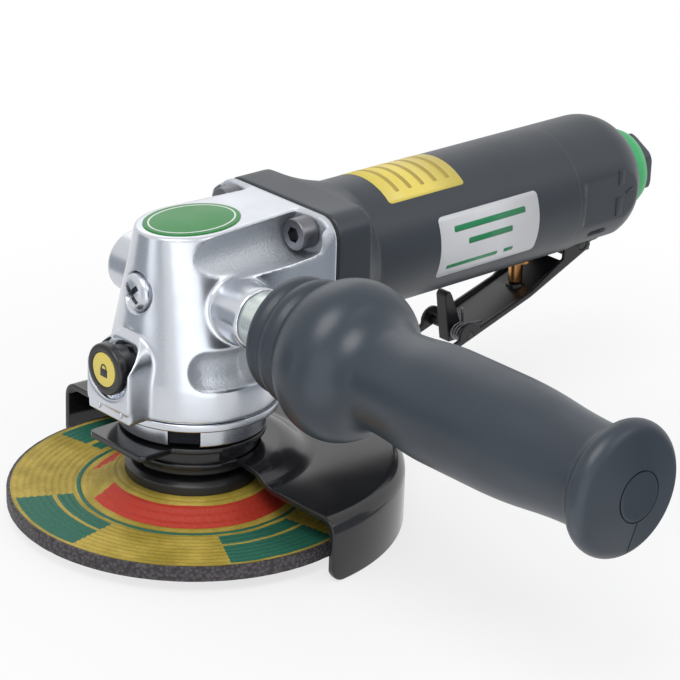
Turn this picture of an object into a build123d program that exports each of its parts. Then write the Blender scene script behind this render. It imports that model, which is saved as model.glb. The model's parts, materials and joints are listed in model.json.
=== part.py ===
from build123d import *
from math import atan2, cos, pi, radians, sin, sqrt, tan
import os

# Air angle grinder for 115 mm wheels, in millimetres.
# The spindle turns about Z, the motor about a level axis along X, the side handle points
# along -Y, and the origin is the middle of the wheel's working face.

os.makedirs("parts", exist_ok=True)

# Clearances
running = 0.05            # radial gap of a shaft or ring that turns in its seat
sliding = 0.05            # radial gap of a part that slides in its bore
push_fit = 0.02           # radial gap of a part that is pushed home and stays
side_gap = 0.4            # end gap beside a part that moves
face_gap = 0.3            # gap between neighbours that only come close

# Grinding wheel and the way it is clamped
wheel_radius = 57.5
wheel_thickness = 4.8
wheel_base = 0.0          # the working face
wheel_bore_radius = 11.115
wheel_dish = 5.35         # rise of the depressed centre
wheel_hub_radius = 24.6
wheel_slope = 7.4         # radial width of the sloping part round the hub
flange_radius = 21.0
flange_thickness = 4.2
flange_pilot = 3.4
flange_edge_fall = 1.2    # bevel round the flange's upper edge
flange_edge_width = 1.6
nut_radius = 17.0
nut_height = 4.9
nut_rim = 4.0             # the nut's rim outside its raised middle
nut_rim_height = 2.0
spanner_hole_radius = 1.4
spanner_hole_depth = 3.0
spanner_hole_at = 10.2
spindle_nose_radius = 7.0
spindle_end_recess = 0.6  # spindle end above the working face
spindle_nose_chamfer = 0.8
spindle_waist = 1.5       # step down above the gear
hub_base = wheel_base + wheel_dish
hub_top = hub_base + wheel_thickness
flange_top = hub_top + flange_thickness

# Bearing cap and guard neck
neck_radius = 18.5
neck_base = 15.85
neck_bore_radius = 11.5
shoulder_radius = 10.0
seal_height = 5.0
seal_lip_height = 2.0
seal_lip_root = 1.0       # height of the lip's running edge
seal_shell = 0.7          # gap between the lip's back and the shoulder
skirt_radius = 23.25
skirt_base = 27.5
skirt_slots = 4
skirt_slot_width = 10.0
skirt_slot_depth = 2.9
skirt_slot_height = 5.2
skirt_slot_turn = 44.0    # bearing of the first slot, from the front
cap_radius = 26.7
cap_base = 33.75
cap_top = 36.25
spigot_radius = 22.0
spigot_height = 5.5

# Ball bearings: outer radius, bore radius, width
lower_bearing = (16.0, 7.5, 9.0)
upper_bearing = (11.0, 4.0, 7.0)
front_bearing = (13.0, 5.0, 8.0)
rear_bearing = (11.0, 4.0, 7.0)
bearing_ring = 0.24       # share of a bearing's section taken by each ring
bearing_shield = 0.6      # depth of the shields below the rings
lower_bearing_base = 29.65

# Wheel guard
guard_radius = 65.9
guard_sheet = 2.0
guard_base = -3.75        # lower edge, on which the tool stands
guard_pan = 16.85         # upper face of the pan
guard_plate = 20.65       # upper face of the raised centre
guard_plate_radius = 29.5
guard_step = 6.5          # radial width of the step between plate and pan
guard_corner = 4.9
guard_end_corner = 5.0
guard_ring_radius = 21.3
guard_collar_radius = 20.4
guard_collar_top = 24.35
lock_ring_sheet = 2.0
lock_ring_radius = 22.75
lock_tab_reach = 30.5
lock_tab_width = 26.0
lock_tab_corner = 2.0
retainer_radius = 20.4
retainer_height = 1.2
retainer_groove = 0.9
retainer_rise = 1.3       # groove above the neck's lower end
retainer_gap = 3.0

# Gear head
axis_height = 69.75       # motor and handle axes above the working face
band_radius = 26.5
band_top = 47.75
head_rise = 22.5          # head's top above the motor axis
crown_wall = 6.0          # metal over the upper bearing
crown_length = 18.6       # half axes of the oval top
crown_width = 14.6
crown_shift = -1.5
joint_x = 33.6            # rear face of the head
head_flange = 3.6
joint_half_width = 27.0
joint_below_axis = 24.0
joint_corner = 7.0
neck_half_width = 21.5    # head neck where it leaves the column
neck_drop = 20.5
boss_radius = 9.83
boss_reach = 31.2
boss_root = 10.0          # where the boss starts inside the head
socket_radius = 4.25      # core of an M10 thread
socket_depth = 14.0
screw_side = 10.0         # head screws inside the flange's sides
screw_edge = 5.5          # and below its top
screw_head_radius = 5.0
screw_head_length = 6.0
screw_head_clear = 0.6    # room round a screw's head
screw_recess = 13.2       # length of the recess for a screw's head
screw_socket_radius = 2.88
screw_shank_radius = 3.0
screw_length = 18.0
channel_radius = 7.5
lower_channel_radius = 6.8
channel_out = 0.8         # channel axis outside the screw axis
channel_up = 0.6          # upper channel axis above the screw axis
upper_channel_front = -26.0
upper_channel_out = 5.4   # the same at the channel's front end
lower_channel_sweep = 30.0
lower_channel_up = 0.8    # lower channel axis above the screw axis
head_wall = 2.2           # least wall between chamber and channel
chamber_radius = 19.2
chamber_neck_radius = 13.0
chamber_shoulder_drop = 7.5
chamber_neck_rise = 4.5
pinion_room = 0.6         # room round the pinion's teeth

# Spindle lock
lock_rise = 7.25          # lock pin above the foot of the gear's hub
lock_front = -33.6        # front face of the lock block
lock_half_width = 10.1
lock_pocket_radius = 9.3
lock_pocket_depth = 7.1
lock_spring_depth = 4.0   # spring seat below the pocket floor
lock_spring_clear = 0.95  # room round the spring, for the button's sleeve
lock_hood = 10.0          # how far the hood leans back over its height
lock_hood_rise = 0.5      # foot of the hood above the lock pin
lock_button_radius = 8.0
lock_button_rim = 3.2
lock_button_round = 0.8
lock_button_proud = 1.0
lock_stem_radius = 4.4
lock_sleeve_wall = 0.6    # sleeve of the button, round the spring
lock_sleeve_gap = 0.15
lock_pin_radius = 3.0
lock_pin_seat = 2.0       # depth of the pin in the button
lock_pin_gap = 1.1        # from the pin's tip to the gear's hub
lock_pin_chamfer = 0.6
lock_travel = 4.2
lock_hole_depth = 5.0
lock_holes = 4

# Grease screw
grease_rise = 4.2         # above the motor axis
grease_radius = 5.6
grease_head = 2.4
grease_head_round = 1.44
grease_seat = -20.6
grease_shank_radius = 3.0

# Bevel gears, straight teeth
gear_teeth = 25
pinion_teeth = 15
gear_module = 1.35
tooth_face = 6.0
tooth_addendum = 1.0
tooth_dedendum = 1.45
tooth_share = 0.40        # tooth thickness as a share of the pitch
tooth_flank = 22.0
tooth_backing = 1.6       # solid rim behind the tooth roots
gear_hub_radius = 14.5
gear_hub_gap = 6.2        # hub above the lower bearing
gear_hub_lap = 0.5        # hub let into the toothed ring
gear_seat_radius = 7.0
gear_seat_over = 4.6      # seat above the gear's pitch circle
pinion_hub_radius = 8.0
pinion_hub_lap = 1.0
key_width = 3.0
key_height = 3.0
key_length = 10.0
key_rise = 1.0            # key above the hub's foot

# Motor
motor_bore_radius = 18.4
gasket_thickness = 0.5
gasket_inset = 0.5
cylinder_radius = 18.2
cylinder_bore_radius = 14.5
cylinder_offset = 1.5
cylinder_length = 50.0
front_plate_length = 7.6
rear_plate_length = 9.0
rotor_radius = 12.7
rotor_slots = 5
vane_thickness = 2.0
vane_depth = 6.0
vane_proud = 0.15
rotor_tip = 1.0           # shaft end ahead of the pinion
exhaust_ports = 4
exhaust_port_radius = 2.5

# Motor housing
tube_radius = 21.75
tube_flange_end = 47.0
tube_round_start = 56.0
dome_start = 167.0
dome_end = 180.0
dome_end_radius = 14.56
side_flat = 20.2          # flats beside the rear end, from the motor axis
side_flat_start = 148.0

# Air inlet
inlet_hole_radius = 5.72  # core of a 1/4 inch pipe thread
inlet_hole_depth = 12.0
inlet_flats = 19.3
inlet_hex_length = 5.2
inlet_shank_radius = 7.95
inlet_shank_end = 173.0
inlet_passage_radius = 4.5
ring_radius = 12.7
ring_front_radius = 14.4
ring_length = 6.7
o_ring_section = 0.88
screen_thickness = 0.9
screen_hole_radius = 1.0
screen_holes = 6

# Throttle valve, with heights taken from the motor axis
valve_ahead = 21.5        # ahead of the lever's pivot
stem_radius = 2.4
stem_gap = 0.31           # stem above the lever's boss
stem_end = 1.2            # stem above the seal
stem_chamfer = 0.4
valve_bore_radius = 5.0
bushing_drop = 22.9
bushing_top_drop = 9.5
bushing_waist_wall = 1.0
valve_disc_radius = 4.2
valve_disc_height = 2.2
valve_chamber_rise = 8.5
air_passage_radius = 2.8
air_passage_drop = 13.5
inlet_bore_radius = 5.5

# Throttle lever, with heights taken from the motor axis
pivot_x = 160.0
pivot_drop = 19.3
lever_pin_radius = 2.0
lever_half_width = 9.6
lever_sheet = 1.2
lever_wall = 2.3          # height of the side walls, at the bend
lever_rear_wall = 4.3     # and in front of the ears
lever_bend_ahead = 23.0   # stations of the lever, from its pivot
lever_bend_drop = 33.3
lever_rear_behind = 2.0
lever_rear_drop = 22.6
lever_length = 56.0
lever_front_drop = 43.5
lever_nose = 1.6          # rounded front ends of the side walls
lever_nose_rise = 1.8
lever_ear_ahead = 8.5
lever_floor_ahead = 6.0   # rear edge of the floor
lever_ear_radius = 3.1
lever_ear_corner = 0.6
lever_ear_heel = 1.1
lever_ear_heel_drop = 1.4
lever_round = 0.96        # outer round along the bends of the sheet
lever_button_radius = 3.0
lever_button_height = 0.6
lever_button_root = 0.8
lever_button_round = 0.48
lug_half_width = 7.7
lug_drop = 23.3
lug_front = 5.0           # ahead of the pivot
lug_rear = 6.0
lug_root = 3.0            # lug above the pivot, inside the tube
ear_front_rise = 8.0
notch_drop = 15.9
notch_length = 22.0
notch_gap = 0.8
latch_inset = 5.0         # latch pin behind the lever's front end
latch_drop = 39.9
latch_lobe_radius = 4.6
latch_pin_radius = 1.5
latch_half_width = 2.3
latch_hub_radius = 3.2
latch_height = 13.9       # tip above the pin
latch_lean = 3.6          # tip ahead of the pin
latch_thickness = 2.8
latch_tip_front = 1.2     # bevels of the tip, ahead and behind
latch_tip_rear = 1.6
latch_tip_front_width = 0.9
latch_tip_rear_width = 1.0
latch_tip_lap = 0.4       # rear of the tip past its thickness
latch_tail = 4.0
latch_tail_front = 2.6
latch_tail_rear = 1.0
latch_floor_gap = 1.2     # from the spring back to the lever floor

# Side handle
collar_radius = 9.0
collar_chamfer = 0.6
grip_start = 43.6         # front of the grip, from the spindle axis
grip_flange_radius = 18.2
grip_flange_crest = 3.2   # stations along the two flanges, from the front
grip_flange_end = 6.4
grip_flange2_crest = 10.2
grip_flange2_end = 13.6
grip_flange2_radius = 19.4
grip_front_fall = 3.0     # fall of the flanges at their front, groove and rear
grip_groove_fall = 2.2
grip_rear_fall = 1.8
bell_radius = 24.2
bell_at = 70.0
grip_neck_radius = 15.4
grip_neck_at = 88.5
grip_barrel_radius = 17.05
grip_barrel_start = 112.0
grip_barrel_end = 132.0
grip_waist_radius = 14.7
grip_waist_at = 169.0
knob_radius = 19.4
knob_at = 176.2
knob_edge = 3.0           # fall of the rounded edge
knob_edge_length = 4.0
knob_face_radius = 6.5
grip_end = 183.0
stud_radius = socket_radius - push_fit
stud_end = 66.0

# Springs
spring_wire = 0.4
spring_end_gap = 0.2
latch_coil_radius = 2.75
latch_coil_turns = 2.75
latch_coil_pitch = 1.25
latch_leg = 7.0
latch_floor_leg = 7.5
lock_wire = 0.4
lock_coil_radius = 5.1
lock_coil_turns = 3
valve_coil_radius = 3.6
valve_coil_turns = 6

# Places that follow from the sizes above
head_top = axis_height + head_rise
upper_bearing_base = head_top - crown_wall - upper_bearing[2]
lock_ring_base = guard_collar_top + face_gap
gear_hub_base = lower_bearing_base + lower_bearing[2] + gear_hub_gap
lock_height = gear_hub_base + lock_rise
grease_height = axis_height + grease_rise
screw_rise = head_rise - screw_edge
screw_spread = joint_half_width - screw_side
bushing_base = axis_height - bushing_drop
bushing_top = axis_height - bushing_top_drop
valve_chamber_top = axis_height + valve_chamber_rise
air_passage_height = axis_height - air_passage_drop
valve_x = pivot_x - valve_ahead
lever_bend_x = pivot_x - lever_bend_ahead
lever_rear_x = pivot_x + lever_rear_behind
lever_front_x = pivot_x - lever_length
lever_ear_start = pivot_x - lever_ear_ahead
lever_floor_end = pivot_x - lever_floor_ahead
latch_x = lever_front_x + latch_inset
pivot_z = axis_height - pivot_drop
lever_bend_z = axis_height - lever_bend_drop
lever_rear_z = axis_height - lever_rear_drop
lever_front_z = axis_height - lever_front_drop
lug_base = axis_height - lug_drop
notch_top = axis_height - notch_drop
latch_z = axis_height - latch_drop

motor_axis = Axis((0, 0, axis_height), (1, 0, 0))
handle_axis = Axis((0, 0, axis_height), (0, -1, 0))
apex = Vector(0, 0, axis_height)


def save(piece, name):
    piece.part.label = name
    export_step(piece.part, f"parts/{name}.step")


def turn_z(*outline, mode=Mode.ADD):
    """Turn an outline of (radius, height) points about the spindle axis."""
    with BuildSketch(Plane.XZ) as section:
        with BuildLine():
            Polyline(*outline, close=True)
        make_face()
    revolve(section.sketch, axis=Axis.Z, mode=mode)


def turn_x(*outline, mode=Mode.ADD):
    """Turn an outline of (x, radius) points about the motor axis."""
    with BuildSketch(Plane.XZ) as section:
        with BuildLine():
            Polyline(*[(x, axis_height + r) for x, r in outline], close=True)
        make_face()
    revolve(section.sketch, axis=motor_axis, mode=mode)


def rod_x(x0, x1, radius, y=0.0, z=axis_height, mode=Mode.ADD):
    """Round bar along X between two stations."""
    with BuildSketch(Plane((x0, y, z), x_dir=(0, 1, 0), z_dir=(1, 0, 0))) as section:
        Circle(radius)
    extrude(section.sketch, amount=x1 - x0, mode=mode)


def rod_y(y0, y1, radius, x=0.0, z=axis_height, mode=Mode.ADD):
    """Round bar along Y between two stations."""
    with BuildSketch(Plane((x, y0, z), x_dir=(1, 0, 0), z_dir=(0, 1, 0))) as section:
        Circle(radius)
    extrude(section.sketch, amount=y1 - y0, mode=mode)


def rod_z(z0, z1, radius, x=0.0, y=0.0, mode=Mode.ADD):
    """Round bar along Z between two stations."""
    with BuildSketch(Plane((x, y, z0))) as section:
        Circle(radius)
    extrude(section.sketch, amount=z1 - z0, mode=mode)


def block(x0, x1, y0, y1, z0, z1, mode=Mode.ADD):
    """Rectangular block between two corners."""
    with Locations(((x0 + x1) / 2, (y0 + y1) / 2, (z0 + z1) / 2)):
        Box(x1 - x0, y1 - y0, z1 - z0, mode=mode)


def bearing_outline(start, size):
    """Section of a shielded ball bearing as (along the axis, radius) points."""
    outer, bore, width = size
    ring = (outer - bore) * bearing_ring
    end = start + width
    return (
        (start, bore),
        (start, bore + ring),
        (start + bearing_shield, bore + ring),
        (start + bearing_shield, outer - ring),
        (start, outer - ring),
        (start, outer),
        (end, outer),
        (end, outer - ring),
        (end - bearing_shield, outer - ring),
        (end - bearing_shield, bore + ring),
        (end, bore + ring),
        (end, bore),
    )


def biarc(start, start_way, end, end_way):
    """Two arcs that leave start and reach end along the given directions."""
    chord = end - start
    way_sum = start_way + end_way
    a = 2 * (start_way.dot(end_way) - 1)
    b = -2 * chord.dot(way_sum)
    reach = (-b - sqrt(b * b - 4 * a * chord.dot(chord))) / (2 * a)
    first = start + start_way * reach
    second = end - end_way * reach
    middle = (first + second) * 0.5
    TangentArc(start, middle, tangent=start_way)
    TangentArc(middle, end, tangent=second - first)


def coil_point(plane, radius, pitch, turn):
    """Point and direction on a helix about a plane's normal, after so many turns."""
    angle = 2 * pi * turn
    rise = pitch / (2 * pi)
    point = plane.from_local_coords(Vector(radius * cos(angle), radius * sin(angle), pitch * turn))
    way = plane.x_dir * (-radius * sin(angle)) + plane.y_dir * (radius * cos(angle)) + plane.z_dir * rise
    return point, way.normalized()


def coil(plane, radius, pitch, turns, wire, start_leg=0.0, end_leg=0.0):
    """Round wire wound about a plane's normal, with straight legs at its ends."""
    quarters = [coil_point(plane, radius, pitch, k / 4) for k in range(round(4 * turns) + 1)]
    head, head_way = quarters[0]
    tail, tail_way = quarters[-1]
    with BuildLine() as path:
        if start_leg:
            Line(head - head_way * start_leg, head)
        for (p0, w0), (p1, w1) in zip(quarters, quarters[1:]):
            biarc(p0, w0, p1, w1)
        if end_leg:
            Line(tail, tail + tail_way * end_leg)
    with BuildSketch(Plane(head - head_way * start_leg, z_dir=head_way)) as section:
        Circle(wire)
    sweep(section.sketch, path=path.line)
    print("coil gap between turns", round(abs(pitch) * cos(atan2(pitch, 2 * pi * radius)) - 2 * wire, 2))


# Grinding wheel: flat rim with a depressed centre
with BuildPart() as grinding_wheel:
    slope_end = wheel_hub_radius + wheel_slope
    turn_z(
        (wheel_bore_radius, hub_base),
        (wheel_hub_radius - wheel_thickness / 2, hub_base),
        (slope_end - wheel_thickness / 2, wheel_base),
        (wheel_radius, wheel_base),
        (wheel_radius, wheel_base + wheel_thickness),
        (slope_end, wheel_base + wheel_thickness),
        (wheel_hub_radius, hub_top),
        (wheel_bore_radius, hub_top),
    )
save(grinding_wheel, "grinding_wheel")

# Inner flange with the pilot that centres the wheel
with BuildPart() as inner_flange:
    turn_z(
        (spindle_nose_radius + push_fit, hub_top - flange_pilot),
        (wheel_bore_radius - push_fit, hub_top - flange_pilot),
        (wheel_bore_radius - push_fit, hub_top),
        (flange_radius, hub_top),
        (flange_radius, flange_top - flange_edge_fall),
        (flange_radius - flange_edge_width, flange_top),
        (spindle_nose_radius + push_fit, flange_top),
    )
save(inner_flange, "inner_flange")

# Clamp nut in the wheel's recess, with two holes for the pin spanner
with BuildPart() as flange_nut:
    turn_z(
        (spindle_nose_radius + push_fit, hub_base - nut_height),
        (nut_radius - nut_rim, hub_base - nut_height),
        (nut_radius - nut_rim, hub_base - nut_rim_height),
        (nut_radius, hub_base - nut_rim_height),
        (nut_radius, hub_base),
        (spindle_nose_radius + push_fit, hub_base),
    )
    for side in (-1, 1):
        rod_z(
            hub_base - nut_height, hub_base - nut_height + spanner_hole_depth, spanner_hole_radius,
            x=side * spanner_hole_at, mode=Mode.SUBTRACT,
        )
save(flange_nut, "flange_nut")

# Spindle with its shoulder, bearing journals and gear seat
upper_bearing_top = upper_bearing_base + upper_bearing[2]
lower_journal = lower_bearing[1] - running
upper_journal = upper_bearing[1] - running
gear_pitch_radius = gear_module * gear_teeth / 2
pinion_pitch_radius = gear_module * pinion_teeth / 2
gear_crown = axis_height - pinion_pitch_radius + gear_seat_over
spindle_end = wheel_base + spindle_end_recess
with BuildPart() as spindle:
    turn_z(
        (0, spindle_end),
        (spindle_nose_radius - spindle_nose_chamfer, spindle_end),
        (spindle_nose_radius, spindle_end + spindle_nose_chamfer),
        (spindle_nose_radius, flange_top),
        (shoulder_radius, flange_top),
        (shoulder_radius, lower_bearing_base - side_gap),
        (lower_journal, lower_bearing_base - side_gap),
        (lower_journal, gear_hub_base),
        (gear_seat_radius, gear_hub_base),
        (gear_seat_radius, gear_crown),
        (gear_seat_radius - spindle_waist, gear_crown),
        (gear_seat_radius - spindle_waist, upper_bearing_base - side_gap),
        (upper_journal, upper_bearing_base - side_gap),
        (upper_journal, upper_bearing_top - side_gap),
        (0, upper_bearing_top - side_gap),
    )
    key_base = gear_hub_base + key_rise
    key_centre = gear_seat_radius
    block(
        -key_centre - key_height / 2, -key_centre + key_height / 2,
        -key_width / 2, key_width / 2, key_base, key_base + key_length, mode=Mode.SUBTRACT,
    )
save(spindle, "spindle")

# Key between spindle and gear
with BuildPart() as gear_key:
    block(
        -key_centre - key_height / 2, -key_centre + key_height / 2,
        -key_width / 2, key_width / 2, key_base, key_base + key_length,
    )
save(gear_key, "gear_key")

# Pitch cones share an apex where the spindle and motor axes cross
gear_cone = atan2(gear_teeth, pinion_teeth)
pinion_cone = pi / 2 - gear_cone
cone_reach = sqrt(gear_pitch_radius**2 + pinion_pitch_radius**2)


def cone_point(cone, toward, along, reach, rise):
    """Point on a bevel gear's meridian, at a reach from the apex and a rise from the pitch line."""
    line = toward * sin(cone) + along * cos(cone)
    up = toward * cos(cone) - along * sin(cone)
    return apex + line * reach + up * rise


def tooth_spaces(cone, toward, along, teeth, first):
    """The wedges between a straight bevel gear's teeth, each pointing at the apex."""
    over = 1.2    # wedges reach past the teeth's outer ends
    pitch = pi * gear_module
    lean = tan(radians(tooth_flank))
    half_space = pitch * (1 - tooth_share) / 2
    root = tooth_dedendum
    tip = 2.5 * tooth_addendum    # and past their tips
    line = toward * sin(cone) + along * cos(cone)
    centre = apex + line * (cone_reach * over)
    plane = Plane(centre, x_dir=toward.cross(along), z_dir=line)
    up = toward * cos(cone) - along * sin(cone)
    sign = 1 if plane.y_dir.dot(up) > 0 else -1
    with BuildPart() as wedge:
        with BuildSketch(plane) as profile:
            with BuildLine():
                Polyline(
                    (-(half_space - root * lean) * over, -sign * root * over),
                    ((half_space - root * lean) * over, -sign * root * over),
                    ((half_space + tip * lean) * over, sign * tip * over),
                    (-(half_space + tip * lean) * over, sign * tip * over),
                    close=True,
                )
            make_face()
        loft(sections=[profile.sketch, Vertex(apex.X, apex.Y, apex.Z)])
    turning = Axis(apex, along)
    return [wedge.part.rotate(turning, first + 360 * k / teeth) for k in range(teeth)]


def bevel_blank(cone, toward, along, inner):
    """Tapered ring that carries the teeth, turned about the gear's own axis."""
    small = cone_reach - tooth_face
    meridian = Plane(apex, x_dir=toward, z_dir=toward.cross(along))
    corners = (
        cone_point(cone, toward, along, small, tooth_addendum * small / cone_reach),
        cone_point(cone, toward, along, cone_reach, tooth_addendum),
        cone_point(cone, toward, along, cone_reach, -tooth_dedendum - tooth_backing),
    )
    front, rim, heel = [meridian.to_local_coords(p) for p in corners]
    with BuildSketch(meridian) as section:
        with BuildLine():
            Polyline(
                (front.X, front.Y), (rim.X, rim.Y), (heel.X, heel.Y),
                (inner, heel.Y), (inner, front.Y),
                close=True,
            )
        make_face()
    revolve(section.sketch, axis=Axis(apex, along))


down = Vector(0, 0, -1)
back = Vector(1, 0, 0)
gear_wedges = tooth_spaces(gear_cone, back, down, gear_teeth, 0)
pinion_wedges = tooth_spaces(pinion_cone, down, back, pinion_teeth, 180 / pinion_teeth)

# Driven gear: teeth above, hub with the lock holes below
with BuildPart() as bevel_gear:
    bevel_blank(gear_cone, back, down, gear_seat_radius + push_fit)
    gear_bottom = bevel_gear.part.bounding_box().min.Z
    turn_z(
        (gear_seat_radius + push_fit, gear_hub_base),
        (gear_hub_radius, gear_hub_base),
        (gear_hub_radius, gear_bottom + gear_hub_lap),
        (gear_seat_radius + push_fit, gear_bottom + gear_hub_lap),
    )
    add(gear_wedges, mode=Mode.SUBTRACT)
    block(
        -key_centre - key_height / 2 - push_fit, 0,
        -key_width / 2 - push_fit, key_width / 2 + push_fit,
        key_base - push_fit, key_base + key_length + push_fit, mode=Mode.SUBTRACT,
    )
    with Locations((0, 0, lock_height)):
        for k in range(lock_holes):
            with Locations(Location((0, 0, 0), (0, 0, 360 * k / lock_holes))):
                with Locations(Location((-gear_hub_radius, 0, 0), (0, 90, 0))):
                    Cylinder(lock_pin_radius + face_gap, 2 * lock_hole_depth, mode=Mode.SUBTRACT)
save(bevel_gear, "bevel_gear")

# Driving pinion on the rotor shaft
front_bearing_end = joint_x - side_gap / 2
front_bearing_start = front_bearing_end - front_bearing[2]
shaft_radius = front_bearing[1] - running
with BuildPart() as bevel_pinion:
    bevel_blank(pinion_cone, down, back, shaft_radius + push_fit)
    pinion_back = bevel_pinion.part.bounding_box().max.X
    turn_x(
        (pinion_back - pinion_hub_lap, shaft_radius + push_fit),
        (pinion_back - pinion_hub_lap, pinion_hub_radius),
        (front_bearing_start - side_gap, pinion_hub_radius),
        (front_bearing_start - side_gap, shaft_radius + push_fit),
    )
    add(pinion_wedges, mode=Mode.SUBTRACT)
save(bevel_pinion, "bevel_pinion")

# Ball bearings
with BuildPart() as spindle_bearing_lower:
    turn_z(*[(r, z) for z, r in bearing_outline(lower_bearing_base, lower_bearing)])
save(spindle_bearing_lower, "spindle_bearing_lower")
with BuildPart() as spindle_bearing_upper:
    turn_z(*[(r, z) for z, r in bearing_outline(upper_bearing_base, upper_bearing)])
save(spindle_bearing_upper, "spindle_bearing_upper")
with BuildPart() as rotor_bearing_front:
    turn_x(*bearing_outline(front_bearing_start, front_bearing))
save(rotor_bearing_front, "rotor_bearing_front")

# Bearing cap: threaded spigot, flange, slotted skirt and the neck that carries the guard
groove_base = neck_base + retainer_rise
groove_top = groove_base + retainer_height + 2 * push_fit
with BuildPart() as bearing_cap:
    turn_z(
        (neck_bore_radius, neck_base),
        (neck_radius, neck_base),
        (neck_radius, groove_base),
        (neck_radius - retainer_groove, groove_base),
        (neck_radius - retainer_groove, groove_top),
        (neck_radius, groove_top),
        (neck_radius, skirt_base),
        (skirt_radius, skirt_base),
        (skirt_radius, cap_base),
        (cap_radius, cap_base),
        (cap_radius, cap_top),
        (spigot_radius, cap_top),
        (spigot_radius, cap_top + spigot_height),
        (lower_bearing[0] + push_fit, cap_top + spigot_height),
        (lower_bearing[0] + push_fit, lower_bearing_base),
        (neck_bore_radius, lower_bearing_base),
    )
    slot_middle = skirt_base + skirt_slot_height / 2
    for k in range(skirt_slots):
        slot_bearing = skirt_slot_turn + 360 * k / skirt_slots
        with Locations(Location((0, 0, slot_middle), (0, 0, slot_bearing))):
            with Locations((-skirt_radius, 0, 0)):
                Box(2 * skirt_slot_depth, skirt_slot_width, skirt_slot_height, mode=Mode.SUBTRACT)
save(bearing_cap, "bearing_cap")

# Lip seal that runs on the spindle's shoulder
seal_base = skirt_base - seal_height
with BuildPart() as spindle_seal:
    turn_z(
        (shoulder_radius + running, seal_base),
        (neck_bore_radius - push_fit, seal_base),
        (neck_bore_radius - push_fit, skirt_base),
        (shoulder_radius + seal_shell, skirt_base),
        (shoulder_radius + seal_shell, seal_base + seal_lip_height),
        (shoulder_radius + running, seal_base + seal_lip_root),
    )
save(spindle_seal, "spindle_seal")

# Retaining ring in the neck's groove
with BuildPart() as guard_retainer:
    turn_z(
        (neck_radius - retainer_groove + push_fit, groove_base + push_fit),
        (retainer_radius, groove_base + push_fit),
        (retainer_radius, groove_top - push_fit),
        (neck_radius - retainer_groove + push_fit, groove_top - push_fit),
    )
    block(
        -2 * retainer_radius, 0, -retainer_gap / 2, retainer_gap / 2, groove_base, groove_top,
        mode=Mode.SUBTRACT,
    )
save(guard_retainer, "guard_retainer")

# Half guard pressed from sheet: raised centre, step, pan, round corner and rim
plate_base = guard_plate - guard_sheet
pan_base = guard_pan - guard_sheet
guard_bore_radius = neck_radius + running
step_end = guard_plate_radius + guard_step
with BuildPart() as wheel_guard:
    with BuildSketch(Plane((0, 0, 0), x_dir=(0, -1, 0), z_dir=(-1, 0, 0))) as guard_section:
        with BuildLine():
            Polyline(
                (guard_bore_radius, plate_base),
                (guard_plate_radius - guard_sheet / 2, plate_base),
                (step_end - guard_sheet / 2, pan_base),
                (guard_radius - guard_sheet, pan_base),
                (guard_radius - guard_sheet, guard_base),
                (guard_radius, guard_base),
                (guard_radius, guard_pan),
                (step_end, guard_pan),
                (guard_plate_radius, guard_plate),
                (guard_bore_radius, guard_plate),
                close=True,
            )
        make_face()
        outer_corner = guard_section.vertices().sort_by_distance((guard_radius, guard_pan))[0]
        fillet(outer_corner, guard_corner)
        inner_corner = guard_section.vertices().sort_by_distance((guard_radius - guard_sheet, pan_base))[0]
        fillet(inner_corner, guard_corner - guard_sheet)
    revolve(axis=Axis.Z, revolution_arc=180)
    end_edges = wheel_guard.edges().filter_by(Axis.Y).group_by(Axis.Z)[0]
    fillet(end_edges, guard_end_corner)
    turn_z(
        (guard_bore_radius, plate_base),
        (guard_ring_radius, plate_base),
        (guard_ring_radius, guard_plate),
        (guard_collar_radius, guard_plate),
        (guard_collar_radius, guard_collar_top),
        (guard_bore_radius, guard_collar_top),
    )
save(wheel_guard, "wheel_guard")

# Plate ring with the thumb tab that frees the guard
with BuildPart() as guard_lock_ring:
    with BuildSketch(Plane.XY.offset(lock_ring_base)):
        with Locations((-lock_tab_reach / 2, 0)):
            RectangleRounded(lock_tab_reach, lock_tab_width, lock_tab_corner)
        Circle(lock_ring_radius)
        Circle(guard_bore_radius, mode=Mode.SUBTRACT)
    extrude(amount=lock_ring_sheet)
save(guard_lock_ring, "guard_lock_ring")

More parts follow.
